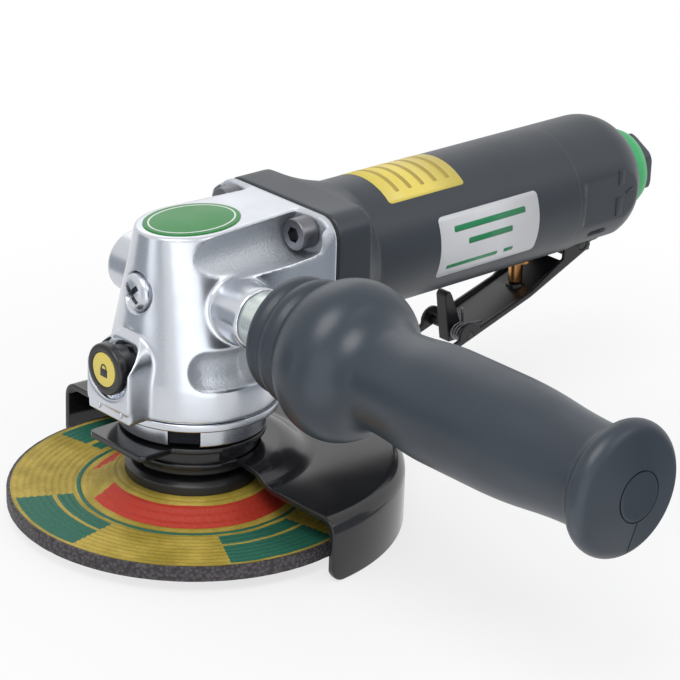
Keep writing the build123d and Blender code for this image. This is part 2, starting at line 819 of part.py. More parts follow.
# Gear head casting
with BuildPart() as gear_head:
    with BuildSketch(Plane.XY.offset(band_top)):
        Circle(band_radius)
    with BuildSketch(Plane.XY.offset(head_top)):
        with Locations((crown_shift, 0)):
            Ellipse(crown_length, crown_width)
    loft()
    rod_z(cap_top, band_top, band_radius)
    neck_bottom = axis_height - neck_drop
    joint_bottom = axis_height - joint_below_axis
    flange_start = joint_x - head_flange
    with BuildSketch(Plane((0, 0, (head_top + neck_bottom) / 2), x_dir=(0, 1, 0), z_dir=(1, 0, 0))):
        RectangleRounded(2 * neck_half_width, head_top - neck_bottom, joint_corner)
    with BuildSketch(
        Plane((flange_start, 0, (head_top + joint_bottom) / 2), x_dir=(0, 1, 0), z_dir=(1, 0, 0))
    ) as joint_section:
        RectangleRounded(2 * joint_half_width, head_top - joint_bottom, joint_corner)
    loft()
    extrude(joint_section.sketch, amount=head_flange)
    for side in (-1, 1):
        rod_y(side * boss_root, side * boss_reach, boss_radius)
        for height in (-1, 1):
            y = side * screw_spread
            z = axis_height + height * screw_rise
            rod_x(
                flange_start - screw_recess, flange_start, screw_head_radius + screw_head_clear, y=y, z=z,
                mode=Mode.SUBTRACT,
            )
            rod_x(flange_start, joint_x, screw_shank_radius + face_gap, y=y, z=z, mode=Mode.SUBTRACT)
        upper_lead = Vector(upper_channel_front, 0, 0) - Vector(flange_start, 0, 0)
        upper_lead += Vector(0, side * (upper_channel_out - channel_out), 0)
        with BuildSketch(
            Plane(
                (flange_start, side * (screw_spread + channel_out), axis_height + screw_rise + channel_up),
                z_dir=upper_lead,
            )
        ):
            Circle(channel_radius)
        extrude(amount=upper_lead.length, mode=Mode.SUBTRACT)
        lower_z = axis_height - screw_rise + lower_channel_up
        lower_reach = chamber_radius + head_wall + lower_channel_radius
        lower_start = Vector(flange_start, side * (screw_spread + channel_out), lower_z)
        lower_lead = Vector(0, side * lower_reach, lower_z) - lower_start
        with BuildSketch(Plane(lower_start, z_dir=lower_lead)):
            Circle(lower_channel_radius)
        extrude(amount=lower_lead.length, mode=Mode.SUBTRACT)
        with BuildSketch(Plane((0, 0, 0), x_dir=(0, side, 0), z_dir=(side, 0, 0))):
            with Locations((lower_reach, lower_z)):
                Circle(lower_channel_radius)
        revolve(axis=Axis.Z, revolution_arc=side * lower_channel_sweep, mode=Mode.SUBTRACT)
        sweep_end = radians(lower_channel_sweep)
        with Locations((-lower_reach * sin(sweep_end), side * lower_reach * cos(sweep_end), lower_z)):
            Sphere(lower_channel_radius, mode=Mode.SUBTRACT)
        rod_y(
            side * (boss_reach - socket_depth), side * boss_reach, socket_radius, mode=Mode.SUBTRACT,
        )
    block(
        lock_front, -band_radius / 2, -lock_half_width, lock_half_width, cap_top, lock_height,
    )
    rod_x(lock_front, -band_radius / 2, lock_half_width, z=lock_height)
    hood_foot = lock_height + lock_hood_rise
    with BuildSketch(Plane.XZ):
        with BuildLine():
            Polyline(
                (lock_front - lock_button_proud, hood_foot),
                (lock_front, hood_foot),
                (lock_front + lock_hood, hood_foot + lock_half_width),
                (lock_front - lock_button_proud, hood_foot + lock_half_width),
                close=True,
            )
        make_face()
    extrude(amount=2 * lock_half_width, both=True, mode=Mode.SUBTRACT)
    rod_x(lock_front, lock_front + lock_pocket_depth, lock_pocket_radius, z=lock_height, mode=Mode.SUBTRACT)
    spring_seat = lock_front + lock_pocket_depth + lock_spring_depth
    spring_room = lock_coil_radius + lock_wire + lock_spring_clear
    rod_x(lock_front, spring_seat, spring_room, z=lock_height, mode=Mode.SUBTRACT)
    rod_x(lock_front, -chamber_radius / 2, lock_pin_radius + sliding, z=lock_height, mode=Mode.SUBTRACT)
    rod_x(
        -2 * band_radius, grease_seat, grease_radius + screw_head_clear, z=grease_height,
        mode=Mode.SUBTRACT,
    )
    rod_x(
        grease_seat, -chamber_neck_radius / 2, grease_shank_radius + push_fit,
        z=grease_height, mode=Mode.SUBTRACT,
    )
    turn_z(
        (0, cap_top),
        (spigot_radius + push_fit, cap_top),
        (spigot_radius + push_fit, cap_top + spigot_height + face_gap),
        (chamber_radius, cap_top + spigot_height + face_gap),
        (chamber_radius, axis_height - chamber_shoulder_drop),
        (chamber_neck_radius, axis_height + chamber_neck_rise),
        (chamber_neck_radius, upper_bearing_base - side_gap),
        (upper_bearing[0] + push_fit, upper_bearing_base - side_gap),
        (upper_bearing[0] + push_fit, upper_bearing_top + push_fit),
        (0, upper_bearing_top + push_fit),
        mode=Mode.SUBTRACT,
    )
    pinion_clear = pinion_pitch_radius + tooth_addendum + pinion_room
    rod_x(0, front_bearing_start, pinion_clear, mode=Mode.SUBTRACT)
    rod_x(
        front_bearing_start - push_fit, joint_x, front_bearing[0] + push_fit, mode=Mode.SUBTRACT,
    )
save(gear_head, "gear_head")

# Screws that hold the head to the motor housing
screw_seat = joint_x - head_flange
with BuildPart() as head_screws:
    for side in (-1, 1):
        for height in (-1, 1):
            y = side * screw_spread
            z = axis_height + height * screw_rise
            rod_x(screw_seat - screw_head_length, screw_seat, screw_head_radius, y=y, z=z)
            rod_x(screw_seat, screw_seat + screw_length, screw_shank_radius, y=y, z=z)
            with BuildSketch(
                Plane((screw_seat - screw_head_length, y, z), x_dir=(0, 1, 0), z_dir=(1, 0, 0))
            ):
                RegularPolygon(screw_socket_radius, 6)
            extrude(amount=screw_shank_radius, mode=Mode.SUBTRACT)
save(head_screws, "head_screws")

# Grease plug in the head's front
with BuildPart() as grease_screw:
    rod_x(grease_seat - grease_head, grease_seat, grease_radius, z=grease_height)
    rim = grease_screw.edges().filter_by(GeomType.CIRCLE).sort_by(Axis.X)[0]
    fillet(rim, grease_head_round)
    rod_x(grease_seat, -chamber_neck_radius - side_gap, grease_shank_radius, z=grease_height)
save(grease_screw, "grease_screw")

# Gasket between head and motor housing
housing_start = joint_x + gasket_thickness
with BuildPart() as head_gasket:
    with BuildSketch(
        Plane((joint_x, 0, (head_top + joint_bottom) / 2), x_dir=(0, 1, 0), z_dir=(1, 0, 0))
    ):
        RectangleRounded(
            2 * (joint_half_width - gasket_inset), head_top - joint_bottom - 2 * gasket_inset,
            joint_corner - gasket_inset,
        )
    extrude(amount=gasket_thickness)
    rod_x(joint_x, housing_start, motor_bore_radius, mode=Mode.SUBTRACT)
    for side in (-1, 1):
        for height in (-1, 1):
            rod_x(
                joint_x, housing_start, screw_shank_radius + face_gap, y=side * screw_spread,
                z=axis_height + height * screw_rise, mode=Mode.SUBTRACT,
            )
save(head_gasket, "head_gasket")

# Mushroom button of the spindle lock
button_face = lock_front - lock_button_proud
with BuildPart() as lock_button:
    rod_x(button_face, button_face + lock_button_rim, lock_button_radius, z=lock_height)
    rims = lock_button.edges().filter_by(GeomType.CIRCLE)
    fillet(rims, lock_button_round)
    button_back = spring_seat - lock_travel - side_gap
    rim_back = button_face + lock_button_rim
    sleeve_bore = lock_coil_radius + lock_wire + lock_sleeve_gap
    rod_x(rim_back, button_back, sleeve_bore + lock_sleeve_wall, z=lock_height)
    rod_x(rim_back, button_back, sleeve_bore, z=lock_height, mode=Mode.SUBTRACT)
    rod_x(rim_back, button_back, lock_stem_radius, z=lock_height)
    rod_x(
        button_back - lock_pin_seat, button_back, lock_pin_radius + push_fit, z=lock_height,
        mode=Mode.SUBTRACT,
    )
save(lock_button, "lock_button")

# Steel pin that drops into the gear hub
with BuildPart() as lock_pin:
    rod_x(button_back - lock_pin_seat, -gear_hub_radius - lock_pin_gap, lock_pin_radius, z=lock_height)
    chamfer(lock_pin.edges().filter_by(GeomType.CIRCLE).sort_by(Axis.X)[-1], lock_pin_chamfer)
save(lock_pin, "lock_pin")

# Liner of the vane motor, bored off centre
plate_start = housing_start + face_gap
cylinder_start = plate_start + front_plate_length
cylinder_end = cylinder_start + cylinder_length
rear_plate_end = cylinder_end + rear_plate_length
rear_bearing_start = rear_plate_end - rear_bearing[2]
with BuildPart() as front_end_plate:
    rod_x(plate_start, cylinder_start, cylinder_radius)
    rod_x(plate_start, cylinder_start, shaft_radius + face_gap, mode=Mode.SUBTRACT)
save(front_end_plate, "front_end_plate")
with BuildPart() as motor_cylinder:
    rod_x(cylinder_start, cylinder_end, cylinder_radius)
    rod_x(
        cylinder_start, cylinder_end, cylinder_bore_radius,
        z=axis_height + cylinder_offset, mode=Mode.SUBTRACT,
    )
    for k in range(exhaust_ports):
        rod_z(
            axis_height - 2 * cylinder_radius, axis_height, exhaust_port_radius,
            x=cylinder_start + cylinder_length * (k + 1) / (exhaust_ports + 1), mode=Mode.SUBTRACT,
        )
save(motor_cylinder, "motor_cylinder")
rear_shaft_radius = rear_bearing[1] - running
with BuildPart() as rear_end_plate:
    rod_x(cylinder_end, rear_plate_end, cylinder_radius)
    rod_x(cylinder_end, rear_plate_end, rear_shaft_radius + face_gap, mode=Mode.SUBTRACT)
    rod_x(rear_bearing_start, rear_plate_end, rear_bearing[0] + push_fit, mode=Mode.SUBTRACT)
save(rear_end_plate, "rear_end_plate")
with BuildPart() as rotor_bearing_rear:
    turn_x(*bearing_outline(rear_bearing_start, rear_bearing))
save(rotor_bearing_rear, "rotor_bearing_rear")

# Rotor with its vane slots
rotor_start = cylinder_start + side_gap
rotor_end = cylinder_end - side_gap
pinion_front = bevel_pinion.part.bounding_box().min.X
with BuildPart() as rotor:
    turn_x(
        (pinion_front - rotor_tip, 0),
        (pinion_front - rotor_tip, shaft_radius),
        (rotor_start, shaft_radius),
        (rotor_start, rotor_radius),
        (rotor_end, rotor_radius),
        (rotor_end, rear_shaft_radius),
        (rear_plate_end - side_gap, rear_shaft_radius),
        (rear_plate_end - side_gap, 0),
    )
    with BuildSketch(Plane((rotor_start, 0, axis_height), x_dir=(0, 1, 0), z_dir=(1, 0, 0))):
        with PolarLocations(rotor_radius, rotor_slots):
            Rectangle(2 * vane_depth, vane_thickness + 2 * sliding)
    extrude(amount=rotor_end - rotor_start, mode=Mode.SUBTRACT)
save(rotor, "rotor")

# Vanes, drawn in
with BuildPart() as rotor_vanes:
    with BuildSketch(Plane((rotor_start, 0, axis_height), x_dir=(0, 1, 0), z_dir=(1, 0, 0))):
        with PolarLocations(rotor_radius + vane_proud - vane_depth / 2, rotor_slots):
            Rectangle(vane_depth, vane_thickness)
    extrude(amount=rotor_end - rotor_start)
save(rotor_vanes, "rotor_vanes")

# Composite motor housing: square flange, round tube, domed rear and the valve chest
motor_bore_end = rear_plate_end + face_gap
o_ring_radius = inlet_shank_radius + o_ring_section
o_ring_seat = dome_end - 2 * o_ring_section - push_fit
notch_start = lever_ear_start - notch_gap
with BuildPart() as motor_housing:
    with BuildSketch(
        Plane((housing_start, 0, (head_top + joint_bottom) / 2), x_dir=(0, 1, 0), z_dir=(1, 0, 0))
    ):
        RectangleRounded(2 * joint_half_width, head_top - joint_bottom, joint_corner)
    extrude(amount=tube_flange_end - housing_start)
    with BuildSketch(
        Plane((tube_flange_end, 0, (head_top + joint_bottom) / 2), x_dir=(0, 1, 0), z_dir=(1, 0, 0))
    ):
        RectangleRounded(2 * joint_half_width, head_top - joint_bottom, joint_corner)
    with BuildSketch(Plane((tube_round_start, 0, axis_height), x_dir=(0, 1, 0), z_dir=(1, 0, 0))):
        Circle(tube_radius)
    loft()
    with BuildSketch(Plane.XZ):
        with BuildLine():
            Line((tube_round_start, axis_height), (tube_round_start, axis_height + tube_radius))
            Line(
                (tube_round_start, axis_height + tube_radius), (dome_start, axis_height + tube_radius)
            )
            TangentArc(
                (dome_start, axis_height + tube_radius), (dome_end, axis_height + dome_end_radius),
                tangent=(1, 0),
            )
            Line((dome_end, axis_height + dome_end_radius), (dome_end, axis_height))
            Line((dome_end, axis_height), (tube_round_start, axis_height))
        make_face()
    revolve(axis=motor_axis)
    for side in (-1, 1):
        block(
            side_flat_start, 2 * dome_end,
            min(side * side_flat, side * 2 * tube_radius), max(side * side_flat, side * 2 * tube_radius),
            axis_height - tube_radius, axis_height + tube_radius, mode=Mode.SUBTRACT,
        )
    block(
        pivot_x - lug_front, pivot_x + lug_rear, -lug_half_width, lug_half_width, lug_base,
        pivot_z + lug_root,
    )
    for side in (-1, 1):
        block(
            notch_start, notch_start + notch_length,
            min(side * lug_half_width, side * 2 * tube_radius),
            max(side * lug_half_width, side * 2 * tube_radius),
            axis_height - 2 * tube_radius, notch_top, mode=Mode.SUBTRACT,
        )
    rod_y(-2 * tube_radius, 2 * tube_radius, lever_pin_radius + push_fit, x=pivot_x, z=pivot_z,
          mode=Mode.SUBTRACT)
    rod_x(housing_start, motor_bore_end, motor_bore_radius, mode=Mode.SUBTRACT)
    for side in (-1, 1):
        for height in (-1, 1):
            rod_x(
                housing_start, screw_seat + screw_length + face_gap, screw_shank_radius + push_fit,
                y=side * screw_spread, z=axis_height + height * screw_rise, mode=Mode.SUBTRACT,
            )
    rod_z(
        axis_height - 2 * tube_radius, valve_chamber_top, valve_bore_radius, x=valve_x,
        mode=Mode.SUBTRACT,
    )
    rod_x(motor_bore_end, valve_x, air_passage_radius, z=air_passage_height, mode=Mode.SUBTRACT)
    rod_x(valve_x, inlet_shank_end, inlet_bore_radius, mode=Mode.SUBTRACT)
    rod_x(inlet_shank_end - screen_thickness - 2 * push_fit, dome_end, inlet_shank_radius + push_fit,
          mode=Mode.SUBTRACT)
    rod_x(o_ring_seat, dome_end, o_ring_radius + o_ring_section + push_fit, mode=Mode.SUBTRACT)
save(motor_housing, "motor_housing")

# Strainer, seal and threaded bushing of the air inlet
with BuildPart() as inlet_screen:
    rod_x(
        inlet_shank_end - screen_thickness - push_fit, inlet_shank_end - push_fit,
        inlet_shank_radius - push_fit,
    )
    with BuildSketch(
        Plane((inlet_shank_end - 2 * screen_thickness, 0, axis_height), x_dir=(0, 1, 0), z_dir=(1, 0, 0))
    ):
        Circle(screen_hole_radius)
        with PolarLocations((inlet_bore_radius + screen_hole_radius) / 2, screen_holes):
            Circle(screen_hole_radius)
    extrude(amount=3 * screen_thickness, mode=Mode.SUBTRACT)
save(inlet_screen, "inlet_screen")
with BuildPart() as inlet_o_ring:
    with BuildSketch(Plane.XZ):
        with Locations((dome_end - o_ring_section - push_fit, axis_height + o_ring_radius + push_fit / 2)):
            Circle(o_ring_section - push_fit)
    revolve(axis=motor_axis)
save(inlet_o_ring, "inlet_o_ring")
ring_start = dome_end + face_gap
hex_start = ring_start + ring_length + face_gap
inlet_mouth = hex_start + inlet_hex_length
with BuildPart() as inlet_bushing:
    rod_x(inlet_shank_end, hex_start, inlet_shank_radius)
    with BuildSketch(Plane((hex_start, 0, axis_height), x_dir=(0, 1, 0), z_dir=(1, 0, 0))):
        RegularPolygon(inlet_flats / 2, 6, major_radius=False)
    extrude(amount=inlet_hex_length)
    rod_x(inlet_shank_end, inlet_mouth, inlet_passage_radius, mode=Mode.SUBTRACT)
    rod_x(inlet_mouth - inlet_hole_depth, inlet_mouth, inlet_hole_radius, mode=Mode.SUBTRACT)
save(inlet_bushing, "inlet_bushing")

# Ring that sets the air flow, turning on the bushing
with BuildPart() as regulator_ring:
    turn_x(
        (ring_start, inlet_shank_radius + running),
        (ring_start, ring_front_radius),
        (ring_start + ring_length, ring_radius),
        (ring_start + ring_length, inlet_shank_radius + running),
    )
save(regulator_ring, "regulator_ring")

rear_slope = (lever_rear_z - lever_bend_z) / (lever_rear_x - lever_bend_x)
front_slope = (lever_bend_z - lever_front_z) / (lever_bend_x - lever_front_x)


def lever_under(x):
    """Height of the lever's underside at a station."""
    slope = rear_slope if x > lever_bend_x else front_slope
    return lever_bend_z + slope * (x - lever_bend_x)


button_floor = lever_under(valve_x) + lever_sheet
lever_button_top = button_floor + lever_button_height

# Throttle valve: guide bushing, stem, seal and spring
with BuildPart() as valve_bushing:
    rod_z(bushing_base, bushing_top, valve_bore_radius - push_fit, x=valve_x)
    waist_base = air_passage_height - air_passage_radius
    waist_top = air_passage_height + air_passage_radius
    with BuildSketch(Plane((valve_x, 0, waist_base))):
        Circle(valve_bore_radius)
        Circle(stem_radius + bushing_waist_wall, mode=Mode.SUBTRACT)
    extrude(amount=waist_top - waist_base, mode=Mode.SUBTRACT)
    rod_z(bushing_base, bushing_top, stem_radius + sliding, x=valve_x, mode=Mode.SUBTRACT)
save(valve_bushing, "valve_bushing")
seal_seat = bushing_top + face_gap
stem_base = lever_button_top + stem_gap
stem_top = seal_seat + valve_disc_height + stem_end
with BuildPart() as valve_stem:
    rod_z(stem_base, stem_top, stem_radius, x=valve_x)
    chamfer(valve_stem.edges().filter_by(GeomType.CIRCLE).sort_by(Axis.Z)[0], stem_chamfer)
save(valve_stem, "valve_stem")
with BuildPart() as valve_seal:
    rod_z(seal_seat, seal_seat + valve_disc_height, valve_disc_radius, x=valve_x)
    rod_z(
        bushing_top, stem_top, stem_radius + push_fit, x=valve_x, mode=Mode.SUBTRACT,
    )
save(valve_seal, "valve_seal")
spring_base = seal_seat + valve_disc_height + spring_wire + spring_end_gap
spring_top = valve_chamber_top - spring_wire - spring_end_gap
with BuildPart() as valve_spring:
    coil(
        Plane((valve_x, 0, spring_base)), valve_coil_radius,
        (spring_top - spring_base) / valve_coil_turns, valve_coil_turns, spring_wire,
    )
save(valve_spring, "valve_spring")

# Return spring of the lock button, in the pocket round the button's stem
coil_start = rim_back + lock_wire + spring_end_gap
coil_end = spring_seat - lock_wire - spring_end_gap
with BuildPart() as lock_spring:
    coil(
        Plane((coil_start, 0, lock_height), x_dir=(0, 1, 0), z_dir=(1, 0, 0)), lock_coil_radius,
        (coil_end - coil_start) / lock_coil_turns, lock_coil_turns, lock_wire,
    )
save(lock_spring, "lock_spring")

# Throttle lever: pressed channel, open towards the housing
ear_top = pivot_z + lever_ear_radius - lever_ear_corner
lever_room = 10.0         # how far the cuts reach past the lever
with BuildPart() as throttle_lever:
    with BuildSketch(Plane.XZ):
        with BuildLine():
            Polyline(
                (lever_front_x - lever_nose, lever_front_z + lever_nose_rise),
                (lever_front_x, lever_front_z),
                (lever_bend_x, lever_bend_z),
                (lever_rear_x, lever_rear_z),
                (pivot_x + lever_ear_radius + lever_ear_heel, pivot_z - lever_ear_heel_drop),
                (pivot_x + lever_ear_radius, ear_top),
                (pivot_x - lever_ear_radius, ear_top),
                (lever_ear_start, lever_under(lever_ear_start) + ear_front_rise),
                (lever_ear_start, lever_under(lever_ear_start) + lever_rear_wall),
                (lever_bend_x, lever_bend_z + lever_wall),
                (lever_front_x - lever_nose, lever_front_z + lever_wall),
                close=True,
            )
        make_face()
        with Locations((latch_x, latch_z)):
            Circle(latch_lobe_radius)
        with BuildLine():
            Polyline(
                (lever_front_x - lever_room, lever_front_z),
                (lever_front_x, lever_front_z),
                (lever_bend_x, lever_bend_z),
                (lever_bend_x, lever_front_z - lever_room),
                (lever_front_x - lever_room, lever_front_z - lever_room),
                close=True,
            )
        make_face(mode=Mode.SUBTRACT)
    extrude(amount=lever_half_width, both=True)
    inner = lever_half_width - lever_sheet
    with BuildSketch(Plane.XZ):
        with BuildLine():
            Polyline(
                (lever_front_x - lever_room, lever_under(lever_front_x - lever_room) + lever_sheet),
                (lever_bend_x, lever_bend_z + lever_sheet),
                (lever_floor_end, lever_under(lever_floor_end) + lever_sheet),
                (lever_floor_end, lever_front_z),
                (pivot_x + lever_room, lever_front_z),
                (pivot_x + lever_room, axis_height),
                (lever_front_x - lever_room, axis_height),
                close=True,
            )
        make_face()
    extrude(amount=inner, both=True, mode=Mode.SUBTRACT)
    outer_edges = throttle_lever.edges().filter_by(GeomType.LINE).filter_by(
        lambda e: abs(abs(e.center().Y) - lever_half_width) < 0.01
        and abs(e.center().Z - lever_under(e.center().X)) < 0.05
        and lever_front_x < e.center().X < lever_rear_x
    )
    fillet(outer_edges, lever_round)
    rod_z(button_floor - lever_button_root, lever_button_top, lever_button_radius, x=valve_x)
    button_rim = throttle_lever.edges().filter_by(GeomType.CIRCLE).sort_by_distance(
        (valve_x, 0, lever_button_top)
    )[0]
    fillet(button_rim, lever_button_round)
    rod_y(-2 * lever_half_width, 2 * lever_half_width, lever_pin_radius + running, x=pivot_x, z=pivot_z,
          mode=Mode.SUBTRACT)
    rod_y(-2 * lever_half_width, 2 * lever_half_width, latch_pin_radius + push_fit, x=latch_x, z=latch_z,
          mode=Mode.SUBTRACT)
    block(
        lever_front_x - lever_room, latch_x + latch_coil_radius + spring_wire + latch_floor_gap,
        -inner, inner, lever_front_z - lever_room, latch_z + lever_room, mode=Mode.SUBTRACT,
    )
save(throttle_lever, "throttle_lever")

# Pivot pin of the lever, held in the housing's lug
with BuildPart() as lever_pin:
    rod_y(-lever_half_width, lever_half_width, lever_pin_radius, x=pivot_x, z=pivot_z)
save(lever_pin, "lever_pin")

# Lock-off latch with its pin and torsion spring
with BuildPart() as safety_latch:
    tip_front = latch_x - latch_lean - latch_thickness / 2
    tip_rear = latch_x - latch_lean + latch_thickness / 2 + latch_tip_lap
    tip_z = latch_z + latch_height
    with BuildSketch(Plane.XZ):
        with BuildLine():
            Polyline(
                (latch_x - latch_hub_radius, latch_z),
                (tip_front, tip_z - latch_tip_front),
                (tip_front + latch_tip_front_width, tip_z),
                (tip_rear - latch_tip_rear_width, tip_z),
                (tip_rear, tip_z - latch_tip_rear),
                (latch_x + latch_hub_radius, latch_z),
                (latch_x + latch_tail_rear, latch_z - latch_tail),
                (latch_x - latch_tail_front, latch_z - latch_tail),
                close=True,
            )
        make_face()
        with Locations((latch_x, latch_z)):
            Circle(latch_hub_radius)
    extrude(amount=latch_half_width, both=True)
    rod_y(-latch_half_width, latch_half_width, latch_pin_radius + running, x=latch_x, z=latch_z,
          mode=Mode.SUBTRACT)
save(safety_latch, "safety_latch")
with BuildPart() as latch_pin:
    rod_y(-lever_half_width, lever_half_width, latch_pin_radius, x=latch_x, z=latch_z)
save(latch_pin, "latch_pin")
with BuildPart() as latch_spring:
    coil_side = -latch_half_width - spring_wire - face_gap - latch_coil_pitch * latch_coil_turns
    coil(
        Plane((latch_x, coil_side, latch_z), x_dir=(0, 0, 1), z_dir=(0, -1, 0)), latch_coil_radius,
        -latch_coil_pitch, latch_coil_turns, spring_wire, start_leg=latch_floor_leg, end_leg=latch_leg,
    )
save(latch_spring, "latch_spring")

# Side handle: stud, plated collar and moulded grip
with BuildPart() as handle_stud:
    rod_y(-(boss_reach - socket_depth + face_gap), -stud_end, stud_radius)
save(handle_stud, "handle_stud")
with BuildPart() as handle_collar:
    rod_y(-boss_reach, -grip_start, collar_radius)
    chamfer(handle_collar.edges().filter_by(GeomType.CIRCLE).sort_by(Axis.Y)[-1], collar_chamfer)
    rod_y(-boss_reach, -grip_start, stud_radius + push_fit, mode=Mode.SUBTRACT)
save(handle_collar, "handle_collar")


def on_grip(along, radius):
    """Point of the grip's outline, at a distance along the handle and a radius."""
    return (-along, axis_height + radius)


def ease(start, end):
    """Two equal arcs between points of the grip's outline, level at both ends."""
    middle = ((start[0] + end[0]) / 2, (start[1] + end[1]) / 2)
    first = TangentArc(start, middle, tangent=(-1, 0))
    TangentArc(middle, end, tangent=first % 1)


with BuildPart() as handle_grip:
    with BuildSketch(Plane.YZ):
        with BuildLine():
            front_rim = on_grip(grip_start, grip_flange_radius - grip_front_fall)
            groove = on_grip(grip_start + grip_flange_end, grip_flange_radius - grip_groove_fall)
            bell_foot = on_grip(grip_start + grip_flange2_end, grip_flange2_radius - grip_rear_fall)
            Line(on_grip(grip_start, 0), front_rim)
            ThreePointArc(
                front_rim, on_grip(grip_start + grip_flange_crest, grip_flange_radius), groove
            )
            ThreePointArc(
                groove, on_grip(grip_start + grip_flange2_crest, grip_flange2_radius), bell_foot
            )
            TangentArc(on_grip(bell_at, bell_radius), bell_foot, tangent=(1, 0))
            ease(on_grip(bell_at, bell_radius), on_grip(grip_neck_at, grip_neck_radius))
            ease(on_grip(grip_neck_at, grip_neck_radius), on_grip(grip_barrel_start, grip_barrel_radius))
            Line(
                on_grip(grip_barrel_start, grip_barrel_radius),
                on_grip(grip_barrel_end, grip_barrel_radius),
            )
            ease(on_grip(grip_barrel_end, grip_barrel_radius), on_grip(grip_waist_at, grip_waist_radius))
            ease(on_grip(grip_waist_at, grip_waist_radius), on_grip(knob_at, knob_radius))
            knob_rim = TangentArc(
                on_grip(knob_at, knob_radius),
                on_grip(knob_at + knob_edge_length, knob_radius - knob_edge),
                tangent=(-1, 0),
            )
            TangentArc(knob_rim @ 1, on_grip(grip_end, knob_face_radius), tangent=knob_rim % 1)
            Line(on_grip(grip_end, knob_face_radius), on_grip(grip_end, 0))
            Line(on_grip(grip_end, 0), on_grip(grip_start, 0))
        make_face()
    revolve(axis=handle_axis)
    rod_y(-grip_start, -stud_end - face_gap, stud_radius + push_fit, mode=Mode.SUBTRACT)
save(handle_grip, "handle_grip")
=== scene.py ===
import json
import math
import random
import bmesh
import bpy
from mathutils import Matrix, Vector, noise


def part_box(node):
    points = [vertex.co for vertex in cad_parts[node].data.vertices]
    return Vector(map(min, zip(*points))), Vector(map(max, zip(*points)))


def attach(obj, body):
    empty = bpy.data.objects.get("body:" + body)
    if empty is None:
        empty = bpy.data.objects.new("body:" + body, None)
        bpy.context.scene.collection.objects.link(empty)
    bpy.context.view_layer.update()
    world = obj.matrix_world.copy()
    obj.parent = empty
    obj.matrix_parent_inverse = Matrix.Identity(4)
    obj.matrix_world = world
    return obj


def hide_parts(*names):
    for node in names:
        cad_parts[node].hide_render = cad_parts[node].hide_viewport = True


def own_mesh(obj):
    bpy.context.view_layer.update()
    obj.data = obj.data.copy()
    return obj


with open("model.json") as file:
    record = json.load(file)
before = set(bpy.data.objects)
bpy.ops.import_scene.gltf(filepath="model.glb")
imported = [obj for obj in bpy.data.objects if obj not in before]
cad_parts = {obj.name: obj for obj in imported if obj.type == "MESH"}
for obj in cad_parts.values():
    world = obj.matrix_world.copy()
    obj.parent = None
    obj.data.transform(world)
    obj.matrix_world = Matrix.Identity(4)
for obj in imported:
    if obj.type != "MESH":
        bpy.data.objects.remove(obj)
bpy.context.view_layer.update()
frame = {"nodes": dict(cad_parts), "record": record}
cadNodes = frame["nodes"]
scene = bpy.context.scene
scene.view_settings.view_transform = "Standard"
print("frame loaded,", len(cadNodes), "nodes")

mm = 0.001  # pieces are drawn in millimetres and scaled at the end
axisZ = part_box("regulator_ring")[0].z / mm / 2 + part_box("regulator_ring")[1].z / mm / 2  # motor axis
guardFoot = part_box("wheel_guard")[0].z / mm


# mesh tools

def cornered(bm, verts, points, segments):  # a point's third number rounds that corner
    for vert, p in zip(verts, points):
        if len(p) > 2:
            bmesh.ops.bevel(bm, geom=[vert], offset=p[2], segments=segments, profile=0.5, affect="VERTICES",
                            material=-1)
    return bm


def wire(points, closed=True):  # outline in the XZ plane
    bm = bmesh.new()
    verts = [bm.verts.new((p[0], 0, p[1])) for p in points]
    for a, b in zip(verts, verts[1:]):
        bm.edges.new((a, b))
    if closed:
        bm.edges.new((verts[-1], verts[0]))
    return cornered(bm, verts, points, 6)


def outward(bm):
    bmesh.ops.recalc_face_normals(bm, faces=bm.faces)
    return bm


def cleaned(bm, dist=0.0005):
    bmesh.ops.remove_doubles(bm, verts=bm.verts, dist=dist)
    bmesh.ops.dissolve_degenerate(bm, edges=bm.edges, dist=dist)
    return outward(bm)


def capped(bm):
    bmesh.ops.holes_fill(bm, edges=[e for e in bm.edges if e.is_boundary], sides=0)
    return outward(bm)


def scaled(bm, factor):
    bmesh.ops.scale(bm, vec=(factor, factor, factor), verts=bm.verts)
    return bm


def swept(bm, angle, steps, **more):  # an outline turned round Z
    bmesh.ops.spin(bm, geom=bm.verts[:] + bm.edges[:], cent=(0, 0, 0), axis=(0, 0, 1), angle=angle,
                   steps=steps, use_duplicate=False, **more)
    return bm


turns = {"z": (0, "Z"), "x": (90, "Y"), "-y": (90, "X"), "y": (-90, "X")}


def placed(bm, along="z", at=(0, 0, 0)):
    degrees, axis = turns[along]
    turn = Matrix.Rotation(math.radians(degrees), 4, axis)
    bmesh.ops.transform(bm, matrix=Matrix.Translation(at) @ turn, verts=bm.verts)
    return bm


def rotated(bm, degrees, axis="Z"):
    matrix = Matrix.Rotation(math.radians(degrees), 3, axis)
    bmesh.ops.rotate(bm, cent=(0, 0, 0), matrix=matrix, verts=bm.verts)
    return bm


def moved(bm, *step):
    bmesh.ops.translate(bm, vec=step, verts=bm.verts)
    return bm


def rounded(bm, edges, offset):
    bmesh.ops.bevel(bm, geom=edges, offset=offset, segments=3, profile=0.5, affect="EDGES", material=-1)
    return bm


def vertsOf(result):
    return [v for v in result["geom"] if isinstance(v, bmesh.types.BMVert)]


def share(value):  # held between 0 and 1
    return max(0.0, min(1.0, value))


def spun(points, steps=96, along="z", at=(0, 0, 0)):  # radius and height, open where it starts on the axis
    bm = points if isinstance(points, bmesh.types.BMesh) else wire(points, points[0][0] > 0)
    return placed(cleaned(swept(bm, math.tau, steps, use_merge=True)), along, at)


